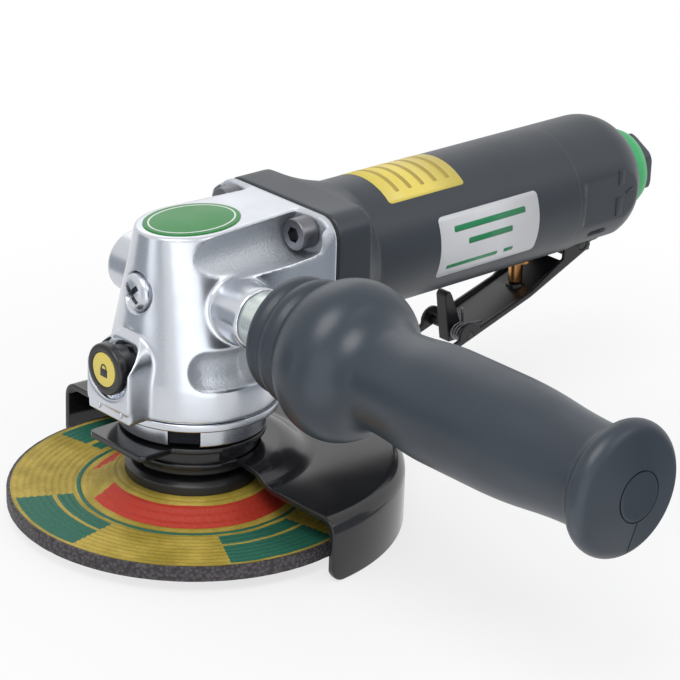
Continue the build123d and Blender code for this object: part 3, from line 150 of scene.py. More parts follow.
def prism(count, radius, depth, along="z", at=(0, 0, 0), edge=0.0, turn=0.0):  # regular prism
    bm = bmesh.new()
    bmesh.ops.create_circle(bm, cap_ends=True, segments=count, radius=radius)
    rotated(bm, turn)
    top = bmesh.ops.extrude_face_region(bm, geom=bm.faces[:])
    bmesh.ops.translate(bm, vec=(0, 0, depth), verts=vertsOf(top))
    outward(bm)
    if edge:
        rounded(bm, bm.edges[:], edge)
    return placed(bm, along, at)


def slab(low, high, edge=0.0):  # box between two corners
    bm = bmesh.new()
    bmesh.ops.create_cube(bm, size=1)
    low, high = Vector(low), Vector(high)
    bmesh.ops.scale(bm, vec=high - low, verts=bm.verts)
    moved(bm, *((low + high) / 2))
    if edge:
        rounded(bm, bm.edges[:], edge)
    return bm


def joined(*parts):
    whole = bmesh.new()
    for part in parts:
        mesh = bpy.data.meshes.new("part")
        part.to_mesh(mesh)
        part.free()
        whole.from_mesh(mesh)
        bpy.data.meshes.remove(mesh)
    return whole


def linked(name, data):
    obj = bpy.data.objects.new(name, data)
    scene.collection.objects.link(obj)
    return obj


def holder(bm, name="draft", *materials):
    mesh = bpy.data.meshes.new(name)
    bm.to_mesh(mesh)
    bm.free()
    for mat in materials:
        mesh.materials.append(mat)
    return linked(name, mesh)


def dropped(*objs):
    for obj in objs:
        mesh = obj.data
        bpy.data.objects.remove(obj)
        bpy.data.meshes.remove(mesh)


def baked(bm, *modifiers, others=()):  # applies modifiers and hands back a bmesh
    obj = holder(bm)
    for kind, values in modifiers:
        mod = obj.modifiers.new(kind.lower(), kind)
        for key, value in values.items():
            setattr(mod, key, value)
    done = bmesh.new()
    done.from_object(obj, bpy.context.evaluated_depsgraph_get())
    dropped(obj, *others)
    return done


def carved(bm, cutter, operation="DIFFERENCE"):
    tool = holder(cutter)
    values = {"operation": operation, "solver": "EXACT", "object": tool}
    sliver = 0.004  # nothing finer is left along the cut
    done = cleaned(baked(bm, ("BOOLEAN", values), others=[tool]), sliver)
    bmesh.ops.triangulate(done, faces=[f for f in done.faces if len(f.verts) > 4])
    return cleaned(done, sliver)


def softCopy(node, voxel, rounds, cutters=(), keep=1.0, fillers=()):  # rounded copy of a CAD solid
    bm = bmesh.new()
    bm.from_mesh(cadNodes[node].data)
    bmesh.ops.remove_doubles(bm, verts=bm.verts, dist=1e-6)
    scaled(bm, 1 / mm)
    for filler in fillers:
        bm = carved(bm, filler, "UNION")
    for cutter in cutters:
        bm = carved(bm, cutter)
    steps = [("REMESH", {"mode": "VOXEL", "voxel_size": voxel, "adaptivity": 0.0}),
             ("SMOOTH", {"factor": 0.5, "iterations": rounds})]
    if keep < 1.0:
        steps.append(("DECIMATE", {"decimate_type": "COLLAPSE", "ratio": keep}))
    return baked(bm, *steps)


def wound(radius, wireRadius, length, turnsCount, along, at):  # round wire in a helix
    bm = bmesh.new()
    bmesh.ops.create_circle(bm, segments=10, radius=wireRadius)
    moved(rotated(bm, 90, "X"), radius, 0, 0)
    steps = round(40 * turnsCount)
    swept(bm, math.tau * turnsCount, steps, dvec=(0, 0, length / steps))
    return placed(capped(bm), along, at)


def markCastAndShade(bm, rule):  # share of matt, tinted skin at each vertex, for polishedCasting: as-cast skin on the head, painted shade on the bearing cap and in the grease plug's cross recess
    castAndShade = bm.verts.layers.float.new("castAndShade")
    for vert in bm.verts:
        vert[castAndShade] = rule(vert.co)


def piece(bm, name, body, material, replaced=(), sharp=180):
    obj = holder(scaled(bm, mm), name, material)
    obj.data.shade_smooth()
    obj.data.set_sharp_from_angle(angle=math.radians(sharp))
    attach(obj, body)
    if replaced:
        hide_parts(*replaced)
    return obj


# material tools

def tint(r, g, b):  # screen colour 0-255 to linear
    shares = [c / 255 for c in (r, g, b)]
    return tuple(c / 12.92 if c <= 10 / 255 else ((c + 0.055) / 1.055) ** 2.4 for c in shares) + (1.0,)


def feed(tree, socket, value):  # a link, a screen colour of three numbers or a plain value
    if isinstance(value, bpy.types.NodeSocket):
        tree.links.new(value, socket)
    elif socket.type == "RGBA" and len(value) == 3:
        socket.default_value = tint(*value)
    else:
        socket.default_value = value


def put(tree, kind, inputs=None, **settings):
    node = tree.nodes.new("ShaderNode" + kind)
    for key, value in settings.items():
        setattr(node, key, value)
    for key, value in (inputs or {}).items():
        feed(tree, node.inputs[key], value)
    return node


def sums(tree, operation, a, b=0.0):
    return put(tree, "Math", {0: a, 1: b}, operation=operation).outputs[0]


def times(tree, a, b):
    return sums(tree, "MULTIPLY", a, b)


def plus(tree, a, b):
    return sums(tree, "ADD", a, b)


def span(tree, value, low, high, outLow=0.0, outHigh=1.0):
    ends = {"Value": value, "From Min": low, "From Max": high, "To Min": outLow, "To Max": outHigh}
    return put(tree, "MapRange", ends, clamp=True).outputs["Result"]


def blendColour(tree, factor, a, b):
    node = put(tree, "Mix", data_type="RGBA")
    for key, value in (("Factor_Float", factor), ("A_Color", a), ("B_Color", b)):
        feed(tree, next(s for s in node.inputs if s.identifier == key), value)
    return next(s for s in node.outputs if s.identifier == "Result_Color")


def newGroup(name, inputs, outputs):
    group = bpy.data.node_groups.new(name, "ShaderNodeTree")
    for label, value in inputs:
        group.interface.new_socket(label, in_out="INPUT", socket_type="NodeSocketFloat").default_value = value
    for label in outputs:
        group.interface.new_socket(label, in_out="OUTPUT", socket_type="NodeSocketFloat")
    return group, group.nodes.new("NodeGroupInput"), group.nodes.new("NodeGroupOutput")


# fine grain of castings, mouldings and paint, with slow blotches over it
grainGroup, gIn, gOut = newGroup("surfaceGrain", [("Grain", 1500.0), ("Blotch", 40.0)], ["Height", "Blotch"])
spot = put(grainGroup, "TexCoord").outputs["Object"]
fine = {"Vector": spot, "Scale": gIn.outputs["Grain"], "Detail": 3.0, "Roughness": 0.6}
fine = put(grainGroup, "TexNoise", fine)
slow = put(grainGroup, "TexNoise", {"Vector": spot, "Scale": gIn.outputs["Blotch"], "Detail": 2.0})
grainGroup.links.new(fine.outputs[0], gOut.inputs["Height"])
grainGroup.links.new(slow.outputs[0], gOut.inputs["Blotch"])

# hairline rubs and specks left by handling
rubGroup, rIn, rOut = newGroup("handlingRubs", [("Scale", 300.0), ("Share", 0.5)], ["Rub", "Speck"])
spot = put(rubGroup, "TexCoord").outputs["Object"]
askew = {"Vector": spot, "Rotation": (0.5, 0.9, 0.4), "Scale": (1.0, 14.0, 6.0)}
askew = put(rubGroup, "Mapping", askew).outputs[0]
lines = put(rubGroup, "TexNoise", {"Vector": askew, "Scale": rIn.outputs["Scale"], "Detail": 2.0}).outputs[0]
where = put(rubGroup, "TexNoise", {"Vector": spot, "Scale": 60.0, "Detail": 1.0}).outputs[0]
lines = times(rubGroup, span(rubGroup, lines, 0.62, 0.72), span(rubGroup, where, 0.45, 0.65))
rubGroup.links.new(times(rubGroup, lines, rIn.outputs["Share"]), rOut.inputs["Rub"])
specks = put(rubGroup, "TexVoronoi", {"Vector": spot, "Scale": times(rubGroup, rIn.outputs["Scale"], 1.6)})
specks = span(rubGroup, specks.outputs["Distance"], 0.10, 0.04)
rubGroup.links.new(times(rubGroup, specks, rIn.outputs["Share"]), rOut.inputs["Speck"])


def useGroup(tree, group, **values):
    return put(tree, "Group", {key.capitalize(): value for key, value in values.items()},
               node_tree=group).outputs


def newMaterial(name, **fixed):  # constants stand on the shader's own sockets
    mat = bpy.data.materials.new(name)
    mat.use_nodes = True
    tree = mat.node_tree
    shader = tree.nodes["Principled BSDF"]
    for key, value in fixed.items():
        shader.inputs[key.replace("_", " ")].default_value = value
    return mat, tree, shader


def surfaced(tree, shader, colour, rough, height, strength, distance):
    bump = put(tree, "Bump", {"Height": height, "Strength": strength, "Distance": distance})
    for key, value in (("Base Color", colour), ("Roughness", rough), ("Normal", bump.outputs["Normal"])):
        tree.links.new(value, shader.inputs[key])


def finish(name, light, dark, rough, grain, blotch, bump, depth=0.0001, rubs=None, **fixed):
    mat, tree, shader = newMaterial(name, **fixed)
    grainOut = useGroup(tree, grainGroup, grain=grain, blotch=blotch)
    colour = blendColour(tree, span(tree, grainOut["Blotch"], 0.3, 0.7), light, dark)
    roughness = span(tree, grainOut["Blotch"], 0.3, 0.7, rough[0], rough[1])
    if rubs:
        amount, rubTint, rubScale = (*rubs, 300.0)[:3]
        rubOut = useGroup(tree, rubGroup, scale=rubScale, share=amount)
        marks = sums(tree, "MAXIMUM", rubOut["Rub"], rubOut["Speck"])
        colour = blendColour(tree, marks, colour, rubTint)
        roughness = plus(tree, roughness, times(tree, rubOut["Rub"], 0.2))
    surfaced(tree, shader, colour, roughness, grainOut["Height"], bump, depth)
    return mat


def seamed(mat, axis, at, seamTint, below=None, half=0.13):  # fine parting line across a moulding
    tree = mat.node_tree
    shader = tree.nodes["Principled BSDF"]
    xyz = put(tree, "SeparateXYZ", {0: put(tree, "TexCoord").outputs["Object"]}).outputs
    off = sums(tree, "ABSOLUTE", sums(tree, "SUBTRACT", xyz[axis], at * mm))
    line = sums(tree, "LESS_THAN", off, half * mm)
    if below is not None:
        line = times(tree, line, sums(tree, "LESS_THAN", xyz[2], below * mm))
    colour = shader.inputs["Base Color"].links[0].from_socket
    tree.links.new(blendColour(tree, line, colour, seamTint), shader.inputs["Base Color"])


# finishes: light and dark tint, roughness from and to, scales of grain and blotch, bump strength and depth,
# rubs with their amount, tint and scale
mouldedGrey = finish("mouldedGrey", (47, 53, 61), (41, 47, 54), (0.36, 0.44), 2600, 30, 0.22, 0.00012,
                     rubs=(0.08, (92, 96, 102), 220))
slateRubber = finish("slateRubber", (42, 52, 63), (36, 45, 56), (0.34, 0.43), 1900, 26, 0.18, 0.00012,
                     rubs=(0.08, (82, 90, 100), 200))
glossBlack = finish("glossBlack", (0.010, 0.010, 0.012, 1), (0.014, 0.014, 0.017, 1), (0.10, 0.17), 700,
                    35, 0.05, 0.0002, rubs=(0.12, (0.08, 0.08, 0.09, 1), 260))
seamed(mouldedGrey, 0, 145.3, (66, 71, 78))
seamed(slateRubber, 0, 0.0, (14, 17, 21), below=axisZ - 7.2, half=0.19)
satinBlack = finish("satinBlack", (0.011, 0.011, 0.013, 1), (0.015, 0.015, 0.018, 1), (0.26, 0.34), 900,
                    40, 0.08, 0.0002, rubs=(0.15, (0.07, 0.07, 0.08, 1), 260), Specular_IOR_Level=0.4)
blackOxide = finish("blackOxide", (0.024, 0.024, 0.027, 1), (0.014, 0.014, 0.016, 1), (0.30, 0.44), 1600,
                    80, 0.12, rubs=(0.2, (0.10, 0.10, 0.11, 1)))
darkSteel = finish("darkSteel", (132, 132, 137), (110, 110, 115), (0.26, 0.40), 1600, 90, 0.10,
                   rubs=(0.3, (150, 150, 154)), Metallic=1.0)
buttonBlack = finish("buttonBlack", (0.012, 0.012, 0.013, 1), (0.018, 0.018, 0.020, 1), (0.22, 0.30), 1200,
                     60, 0.08, rubs=(0.2, (0.08, 0.08, 0.09, 1)))
inletBlack = finish("inletBlack", (74, 79, 86), (64, 68, 75), (0.34, 0.46), 1500, 70, 0.15, 0.00012,
                    rubs=(0.3, (110, 112, 118)), Metallic=0.35)
zincPlate = finish("zincPlate", (214, 222, 218), (196, 204, 202), (0.22, 0.34), 1200, 70, 0.06,
                   rubs=(0.25, (150, 156, 154)), Metallic=0.7)
brightSteel = finish("brightSteel", (222, 223, 225), (205, 206, 209), (0.10, 0.18), 1500, 90, 0.04,
                     rubs=(0.2, (150, 150, 155)), Metallic=1.0)
turnedBrass = finish("turnedBrass", (206, 154, 98), (184, 130, 78), (0.22, 0.34), 1500, 110, 0.06,
                     rubs=(0.3, (140, 96, 60)), Metallic=1.0)
groundSteel = finish("groundSteel", (190, 191, 194), (170, 171, 175), (0.26, 0.38), 1800, 90, 0.06,
                     rubs=(0.2, (110, 110, 115)), Metallic=1.0)
motorSteel = finish("motorSteel", (165, 166, 170), (146, 147, 152), (0.32, 0.46), 1600, 90, 0.08,
                    rubs=(0.2, (95, 95, 100)), Metallic=1.0)
vaneBrown = finish("vaneBrown", (136, 108, 80), (116, 90, 64), (0.55, 0.7), 1400, 120, 0.2)
sealRubber = finish("sealRubber", (0.020, 0.020, 0.021, 1), (0.028, 0.028, 0.029, 1), (0.5, 0.62), 1500,
                    60, 0.15)
gasketBlack = finish("gasketBlack", (46, 47, 50), (38, 39, 42), (0.7, 0.8), 1500, 60, 0.25)
ringGreen = finish("ringGreen", (58, 172, 104), (50, 160, 94), (0.38, 0.46), 2200, 60, 0.14,
                   rubs=(0.12, (130, 200, 160)))
badgeGreen = finish("badgeGreen", (42, 132, 62), (36, 124, 56), (0.30, 0.38), 900, 50, 0.04,
                    rubs=(0.1, (90, 160, 104)), Specular_IOR_Level=0.35)
printWhite = finish("printWhite", (232, 234, 232), (224, 226, 224), (0.35, 0.42), 900, 50, 0.03)
labelWhite = finish("labelWhite", (208, 209, 212), (201, 202, 206), (0.36, 0.44), 1200, 40, 0.04,
                    rubs=(0.12, (190, 191, 194)))
printGreen = finish("printGreen", (6, 128, 78), (2, 118, 70), (0.38, 0.46), 1200, 60, 0.04)
labelYellow = finish("labelYellow", (232, 211, 102), (226, 205, 96), (0.36, 0.44), 1200, 40, 0.04,
                     rubs=(0.12, (204, 182, 84)))
stripeOlive = finish("stripeOlive", (182, 158, 66), (172, 149, 62), (0.4, 0.48), 1200, 60, 0.04)
printBlack = finish("printBlack", (0.015, 0.015, 0.016, 1), (0.02, 0.02, 0.022, 1), (0.35, 0.45), 1200, 60,
                    0.04)


def polishedCasting(name, castAndShadeTint, turned=False):  # buffed skin, matt and given the second tint where the mask attribute is 1: as-cast skin on the head, painted shade on the bearing cap and in the grease plug's cross recess
    mat, tree, shader = newMaterial(name, Metallic=1.0)
    grainOut = useGroup(tree, grainGroup, grain=1100.0, blotch=55.0)
    rubOut = useGroup(tree, rubGroup, scale=420.0, share=0.35)
    castAndShade = put(tree, "Attribute", attribute_name="castAndShade").outputs["Fac"]
    bright = blendColour(tree, span(tree, grainOut["Blotch"], 0.3, 0.7), (208, 211, 217), (198, 201, 208))
    bright = blendColour(tree, rubOut["Rub"], bright, (172, 175, 182))
    colour = blendColour(tree, castAndShade, bright, castAndShadeTint)
    buffed = span(tree, grainOut["Blotch"], 0.3, 0.7, 0.20, 0.29)
    buffed = plus(tree, buffed, times(tree, rubOut["Rub"], 0.12))
    matt = span(tree, grainOut["Height"], 0.3, 0.7, 0.50, 0.66)
    rough = put(tree, "Mix", {0: castAndShade, 2: buffed, 3: matt}, data_type="FLOAT").outputs[0]
    spot = put(tree, "TexCoord").outputs["Object"]
    swell = put(tree, "TexNoise", {"Vector": spot, "Scale": 95.0, "Detail": 1.0}).outputs[0]
    grainShare = plus(tree, times(tree, castAndShade, 1.1), 0.010)
    grainShare = times(tree, grainOut["Height"], grainShare)
    height = plus(tree, times(tree, swell, 0.0 if turned else 0.55), grainShare)
    surfaced(tree, shader, colour, rough, height, 0.35, 0.0006)
    return mat


headAluminium = polishedCasting("headAluminium", (186, 190, 196))
# the near-black second tint is painted shade for the cap's neck, slot floors and bore
capAluminium = polishedCasting("capAluminium", (40, 41, 45), turned=True)
# the second tint is painted shade for the plug's cross recess
plugSteel = polishedCasting("plugSteel", (84, 90, 96), turned=True)


def wheelPrint():  # printed upper face, fibre mesh and grit, dark grey sides
    look = dict(gold=(158, 138, 48), straw=(192, 168, 74), green=(40, 104, 84), red=(190, 58, 40),
                edge=(92, 87, 91), grit=(56, 53, 55), greenSectors=(4, 0.42, 0.30), greenRing=(37.6, 55.2),
                greenGap=(42.6, 44.0), greenLine=(34.6, 36.0), redSectors=(2, 0.80, 0.10),
                redRing=(25.4, 32.2), inkEnd=56.4, cells=900.0, weave=2600.0)
    mat, tree, shader = newMaterial("wheelPrint", Specular_IOR_Level=0.3)
    coord = put(tree, "TexCoord")
    xyz = put(tree, "SeparateXYZ", {0: coord.outputs["Object"]}).outputs
    squares = [times(tree, axis, axis) for axis in xyz[:2]]
    radius = times(tree, sums(tree, "SQRT", plus(tree, *squares)), 1 / mm)
    angle = sums(tree, "ARCTAN2", xyz[1], xyz[0])
    grainOut = useGroup(tree, grainGroup, grain=1400.0, blotch=90.0)
    wobble = times(tree, sums(tree, "SUBTRACT", grainOut["Blotch"], 0.5), 0.8)
    rough = plus(tree, radius, wobble)

    def ring(low, high):
        beyond = sums(tree, "GREATER_THAN", rough, low)
        return times(tree, beyond, sums(tree, "LESS_THAN", rough, high))

    def sector(count, part, turn):
        laps = plus(tree, times(tree, angle, count / math.tau), turn + 4.0)
        return sums(tree, "LESS_THAN", sums(tree, "FRACT", laps), part)

    colour = blendColour(tree, span(tree, grainOut["Blotch"], 0.35, 0.65), look["gold"], look["straw"])
    for band, parts, ink in (("greenRing", "greenSectors", "green"), ("greenGap", "greenSectors", "straw"),
                             ("greenLine", None, "green"), ("redRing", "redSectors", "red")):
        where = ring(*look[band])
        if parts:
            where = times(tree, where, sector(*look[parts]))
        colour = blendColour(tree, where, colour, look[ink])
    cells = put(tree, "TexVoronoi", {"Vector": coord.outputs["Object"], "Scale": look["cells"]})
    cells = cells.outputs["Distance"]
    worn = times(tree, span(tree, grainOut["Height"], 0.55, 0.72), 0.35)  # grit through the ink
    colour = blendColour(tree, worn, colour, look["edge"])
    up = put(tree, "SeparateXYZ", {0: coord.outputs["Normal"]}).outputs[2]
    printed = sums(tree, "LESS_THAN", rough, look["inkEnd"])
    printed = times(tree, sums(tree, "GREATER_THAN", up, 0.35), printed)
    grit = blendColour(tree, span(tree, cells, 0.2, 0.7), look["edge"], look["grit"])
    colour = blendColour(tree, printed, grit, colour)
    matt = span(tree, grainOut["Height"], 0.3, 0.7, 0.44, 0.66)
    threads = [sums(tree, "SINE", times(tree, axis, look["weave"])) for axis in xyz[:2]]
    weave = sums(tree, "MAXIMUM", *threads)
    grain = times(tree, grainOut["Height"], 0.9)
    height = plus(tree, times(tree, weave, 0.12), grain)
    height = plus(tree, height, times(tree, cells, sums(tree, "SUBTRACT", 1.0, printed)))
    surfaced(tree, shader, colour, matt, height, 0.6, 0.0005)
    return mat


wheelAbrasive = wheelPrint()
print("materials made:", len(bpy.data.materials))

# CAD nodes that stay take the same finishes
slotLook = {"polished_aluminium": headAluminium, "black_oxide": blackOxide, "bright_steel": brightSteel,
            "zinc": zincPlate, "gloss_black": glossBlack, "wheel_abrasive": wheelAbrasive,
            "button_black": buttonBlack, "housing_grey": mouldedGrey, "ring_green": ringGreen,
            "inlet_black": inletBlack, "brass": turnedBrass, "handle_rubber": slateRubber,
            "steel": groundSteel, "motor_steel": motorSteel, "vane_composite": vaneBrown,
            "seal_rubber": sealRubber, "gasket": gasketBlack}
for entry in frame["record"]["subparts"]:
    obj = cadNodes[entry["node"]]
    if not obj.material_slots:
        obj.data.materials.append(slotLook[entry["material_slot"]])
    for matSlot in obj.material_slots:
        matSlot.material = slotLook[entry["material_slot"]]

# gear head

head = dict(voxel=0.3, rounds=70, keep=0.26, ledge=39.9, ledgeDeep=0.7, ledgeHalf=14.0, upperRadius=7.5,
            lowerRadius=6.8, screwY=17.0, screwZ=17.0, flange=30.0, out=0.8, up=0.6, front=-26.0,
            frontOut=5.4, lowerUp=0.8, reach=28.2, sweep=30.0, springRoom=6.45, springSeat=-22.5,
            lockZ=52.1, wellLong=12.0, fade=0.5, edgeShare=0.9)


def nearRun(point, a, b):  # distance from a point to a straight run
    a, lead = Vector(a), Vector(b) - Vector(a)
    return (point - a - lead * share((point - a).dot(lead) / lead.dot(lead))).length


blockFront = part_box("gear_head")[0].x / mm
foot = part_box("gear_head")[0].z / mm
ledge = slab((blockFront - 2, -head["ledgeHalf"], foot - 2),  # set-back foot of the lock block
             (blockFront + head["ledgeDeep"], head["ledgeHalf"], head["ledge"]))
# the upper hollows run straight to the flange
run = dict(start=5.0, end=27.5, y=19.9, radius=7.5)
hollowZ = axisZ + head["screwZ"] + head["up"]
cutters = [ledge]
for side in (-1, 1):
    cutters.append(prism(64, run["radius"], run["end"] - run["start"], "x",
                         (run["start"], side * run["y"], hollowZ)))
plug = dict(radius=5.75, rise=3.9, rim=1.7, seat=-20.6, z=4.2, shank=3.0, end=-13.4, slot=1.7, reach=3.9,
            deep=2.6, taper=0.35, turn=45.0, well=6.5, fillDeep=3.4, skin=-22.72, lean=0.144, crown=0.0257,
            dome=((2.4, 0.12), (4.3, 0.62)))
plugZ = axisZ + plug["z"]
fill = prism(64, plug["well"] + 0.5, plug["fillDeep"], "x", (plug["skin"], 0, plugZ))
for vert in fill.verts:  # the filled recess follows the skin of the head
    if vert.co.x < plug["skin"] + 1:
        vert.co.x = plug["skin"] + plug["lean"] * (vert.co.z - plugZ) + plug["crown"] * vert.co.y ** 2
bm = softCopy("gear_head", head["voxel"], head["rounds"], cutters, head["keep"], [fill])
wells = [(plug["well"], plug["seat"], plugZ), (head["springRoom"], head["springSeat"], head["lockZ"])]
for radius, seat, z in wells:  # sharp wells of plug and lock button
    bm = carved(bm, prism(72, radius, head["wellLong"], "x", (seat - head["wellLong"], 0, z)))
tick = dict(y=(4.0, -6.4), half=0.45, front=0.1, back=1.2, drop=1.8, over=0.1, edge=0.3)
ticks = [slab((blockFront + tick["front"], y - tick["half"], head["ledge"] - tick["drop"]),
              (blockFront + tick["back"], y + tick["half"], head["ledge"] + tick["over"]), tick["edge"])
         for y in tick["y"]]
bm = joined(bm, *ticks)
lowZ = axisZ - head["screwZ"] + head["lowerUp"]


def inHollow(p):  # as-cast skin in the four hollows
    side = 1 if p.y > 0 else -1
    screwOut, runOut = side * (head["screwY"] + head["out"]), side * run["y"]
    frontOut = side * (head["screwY"] + head["frontOut"])
    upper = min(nearRun(p, (head["flange"], screwOut, hollowZ), (head["front"], frontOut, hollowZ)),
                nearRun(p, (run["start"], runOut, hollowZ), (run["end"], runOut, hollowZ)))
    lower = nearRun(p, (head["flange"], screwOut, lowZ), (0, side * head["reach"], lowZ))
    if p.x < 0:
        bearing = min(math.atan2(-p.x, side * p.y), math.radians(head["sweep"]))
        across = side * head["reach"] * math.cos(bearing)
        lower = (p - Vector((-head["reach"] * math.sin(bearing), across, lowZ))).length
    inside = max(head["upperRadius"] - upper, head["lowerRadius"] - lower)
    return share((inside + head["edgeShare"] * head["fade"]) / head["fade"])


markCastAndShade(bm, inHollow)
piece(bm, "headCasting", "housing", headAluminium, ["gear_head"])

badge = dict(length=16.2, width=12.2, shift=-1.5, rise=0.35, line=0.5, inset=1.5)
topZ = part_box("gear_head")[1].z / mm


def oval(length, width, z0, z1, edge=0.0):
    bm = prism(96, 1.0, 1.0)
    size = Matrix.Diagonal((length, width, z1 - z0, 1))
    bmesh.ops.transform(bm, matrix=Matrix.Translation((badge["shift"], 0, z0)) @ size, verts=bm.verts)
    if edge:
        rounded(bm, [e for e in bm.edges if all(abs(v.co.z - z1) < 1e-4 for v in e.verts)], edge)
    return bm


bm = oval(badge["length"], badge["width"], topZ - 0.8, topZ + badge["rise"], 0.2)
piece(bm, "headBadge", "housing", badgeGreen, sharp=35)
lineLong, lineWide = badge["length"] - badge["inset"], badge["width"] - badge["inset"]
line = oval(lineLong, lineWide, topZ, topZ + badge["rise"] + 0.03)
hollow = oval(lineLong - badge["line"], lineWide - badge["line"], topZ - 1, topZ + 2)
piece(carved(line, hollow), "headBadgeLine", "housing", printWhite, sharp=35)
print("gear head done")

# head screws, socket heads in the hollows

screw = dict(radius=5.0, long=6.0, seat=30.0, shank=3.0, end=48.0, socket=2.6, deep=3.0)
screwLong = screw["end"] - screw["seat"] + screw["long"]
screws = []
for y in (-head["screwY"], head["screwY"]):
    for z in (-head["screwZ"], head["screwZ"]):
        body = spun([(0, 0), (screw["radius"], 0, 0.5), (screw["radius"], screw["long"], 0.2),
                     (screw["shank"], screw["long"]), (screw["shank"], screwLong, 0.4), (0, screwLong)],
                    64)
        body = carved(body, prism(6, screw["socket"], screw["deep"] + 1, at=(0, 0, -1)))
        screws.append(placed(body, "x", (screw["seat"] - screw["long"], y, axisZ + z)))
piece(joined(*screws), "capScrews", "housing", darkSteel, ["head_screws"], sharp=30)

# grease plug: pan head with a cross recess

plugLong = plug["end"] - plug["seat"] + plug["rise"]
bm = spun([(0, 0), *plug["dome"], (plug["radius"], plug["rim"], 0.7), (plug["radius"], plug["rise"], 0.2),
           (plug["shank"], plug["rise"]), (plug["shank"], plugLong, 0.4), (0, plugLong)], 72)
for turn in (0, 90):
    arm = slab((-plug["reach"], -plug["slot"] / 2, -0.5), (plug["reach"], plug["slot"] / 2, plug["deep"]),
               0.25)
    for vert in arm.verts:  # the recess narrows towards its floor
        vert.co.x *= 1.0 - plug["taper"] * max(0.0, vert.co.z) / plug["deep"]
    bm = carved(bm, rotated(arm, turn + plug["turn"]))
markCastAndShade(bm, lambda p: float(math.hypot(p.x, p.y) < plug["reach"] - 0.1 and p.z > 1.0))  # painted shade in the cross recess
placed(bm, "x", (plug["seat"] - plug["rise"], 0, plugZ))
piece(bm, "greasePlug", "housing", plugSteel, ["grease_screw"], sharp=30)

# bearing cap: flange, slotted skirt, neck

cap = dict(neck=18.5, foot=15.85, skirt=23.25, skirtFoot=27.5, radius=26.7, low=33.75, top=36.25,
           slotTurn=44.0, slots=4, slotWidth=10.0, slotDepth=2.9, slotHeight=5.2, bore=11.5)
bm = spun([(cap["bore"], cap["foot"]), (cap["neck"], cap["foot"], 0.4), (cap["neck"], cap["skirtFoot"]),
           (cap["skirt"], cap["skirtFoot"], 0.5), (cap["skirt"], cap["low"]),
           (cap["radius"], cap["low"], 0.6), (cap["radius"], cap["top"], 0.3), (cap["bore"], cap["top"])],
          180)
for k in range(cap["slots"]):
    cut = slab((-cap["skirt"] - cap["slotDepth"], -cap["slotWidth"] / 2, cap["skirtFoot"] - 0.01),
               (-cap["skirt"] + cap["slotDepth"], cap["slotWidth"] / 2,
                cap["skirtFoot"] + cap["slotHeight"]), 0.5)
    bm = carved(bm, rotated(cut, cap["slotTurn"] + 360 * k / cap["slots"]))
# painted shade: neck, slot floors and bore inside the skirt are dark and matt
markCastAndShade(bm, lambda p: float(math.hypot(p.x, p.y) < cap["skirt"] - 0.8 and p.z < cap["top"] - 0.5))
piece(bm, "bearingCap", "housing", capAluminium, ["bearing_cap"], sharp=30)

# guard: half pan with rolled rim, collar and lock plate

guard = dict(radius=65.9, sheet=2.0, pan=16.85, plate=20.65, plateRadius=29.5, stepEnd=36.0, bore=18.6,
             corner=4.9, endCorner=5.0, edge=0.35, ring=21.3, collar=20.4, collarTop=24.35, steps=300,
             plateVoxel=0.35, plateRounds=5)
g = guard
inner, panLow, plateLow = g["radius"] - g["sheet"], g["pan"] - g["sheet"], g["plate"] - g["sheet"]
bm = wire([(g["bore"], plateLow), (g["plateRadius"] - 1, plateLow, 2.0), (g["stepEnd"] - 1, panLow, 3.0),
           (inner, panLow, g["corner"] - g["sheet"]), (inner, guardFoot, 0.5),
           (g["radius"], guardFoot, 0.7), (g["radius"], g["pan"], g["corner"]),
           (g["stepEnd"], g["pan"], 2.0), (g["plateRadius"], g["plate"], 3.0), (g["bore"], g["plate"])])
capped(swept(rotated(bm, -90), math.pi, g["steps"]))
rounded(bm, [e for e in bm.edges if any(len(f.verts) > 4 for f in e.link_faces)], g["edge"])
bend = g["endCorner"]
for vert in bm.verts:  # rounded lower corners at both ends
    x, y, z = vert.co
    if x < bend and z < guardFoot + bend and math.hypot(x, y) > g["radius"] - 2.5:
        lift = bend - math.sqrt(max(0.0, bend ** 2 - (bend - max(0.0, x)) ** 2))
        vert.co.z = max(z, guardFoot + lift + (z - guardFoot) * (1 - lift / bend))
sleeve = spun([(g["bore"], plateLow, 0.2), (g["ring"], plateLow, 0.2), (g["ring"], g["plate"], 0.3),
               (g["collar"], g["plate"]), (g["collar"], g["collarTop"], 0.4),
               (g["bore"], g["collarTop"], 0.2)], 128)
piece(joined(bm, sleeve), "guardPan", "guard", glossBlack, ["wheel_guard"], sharp=35)
bm = softCopy("guard_lock_ring", g["plateVoxel"], g["plateRounds"])
piece(bm, "guardLockPlate", "guard", glossBlack, ["guard_lock_ring"])
print("guard done")

# grinding wheel, flange and nut

wheel = dict(radius=57.5, thick=4.8, dish=5.35, hub=24.6, slope=7.4, bore=11.115, steps=240, nibble=0.35,
             loops=(45.0, 52.0, 44.0), ridge=0.14, pitch=2.17, ridgeFrom=22.6, ridgeTo=56.3, rings=128)
w = wheel
hubTop, slopeEnd = w["dish"] + w["thick"], w["hub"] + w["slope"]
bm = wire([(w["bore"], w["dish"]), (w["hub"] - 1.2, w["dish"], 2.0), (slopeEnd - 2.4, 0.0, 2.0),
           (w["loops"][0], 0.0), (w["radius"], 0.0, 0.4), (w["radius"], w["thick"] / 3),
           (w["radius"], w["thick"] / 1.5), (w["radius"], w["thick"], 0.4), (w["loops"][1], w["thick"]),
           (w["loops"][2], w["thick"]), (slopeEnd, w["thick"], 2.5), (w["hub"], hubTop, 2.5),
           (w["bore"], hubTop)])


def onTop(p):  # above the middle of the wheel's thickness
    return p.z > w["thick"] / 2 + w["dish"] * share((slopeEnd - p.x) / w["slope"])


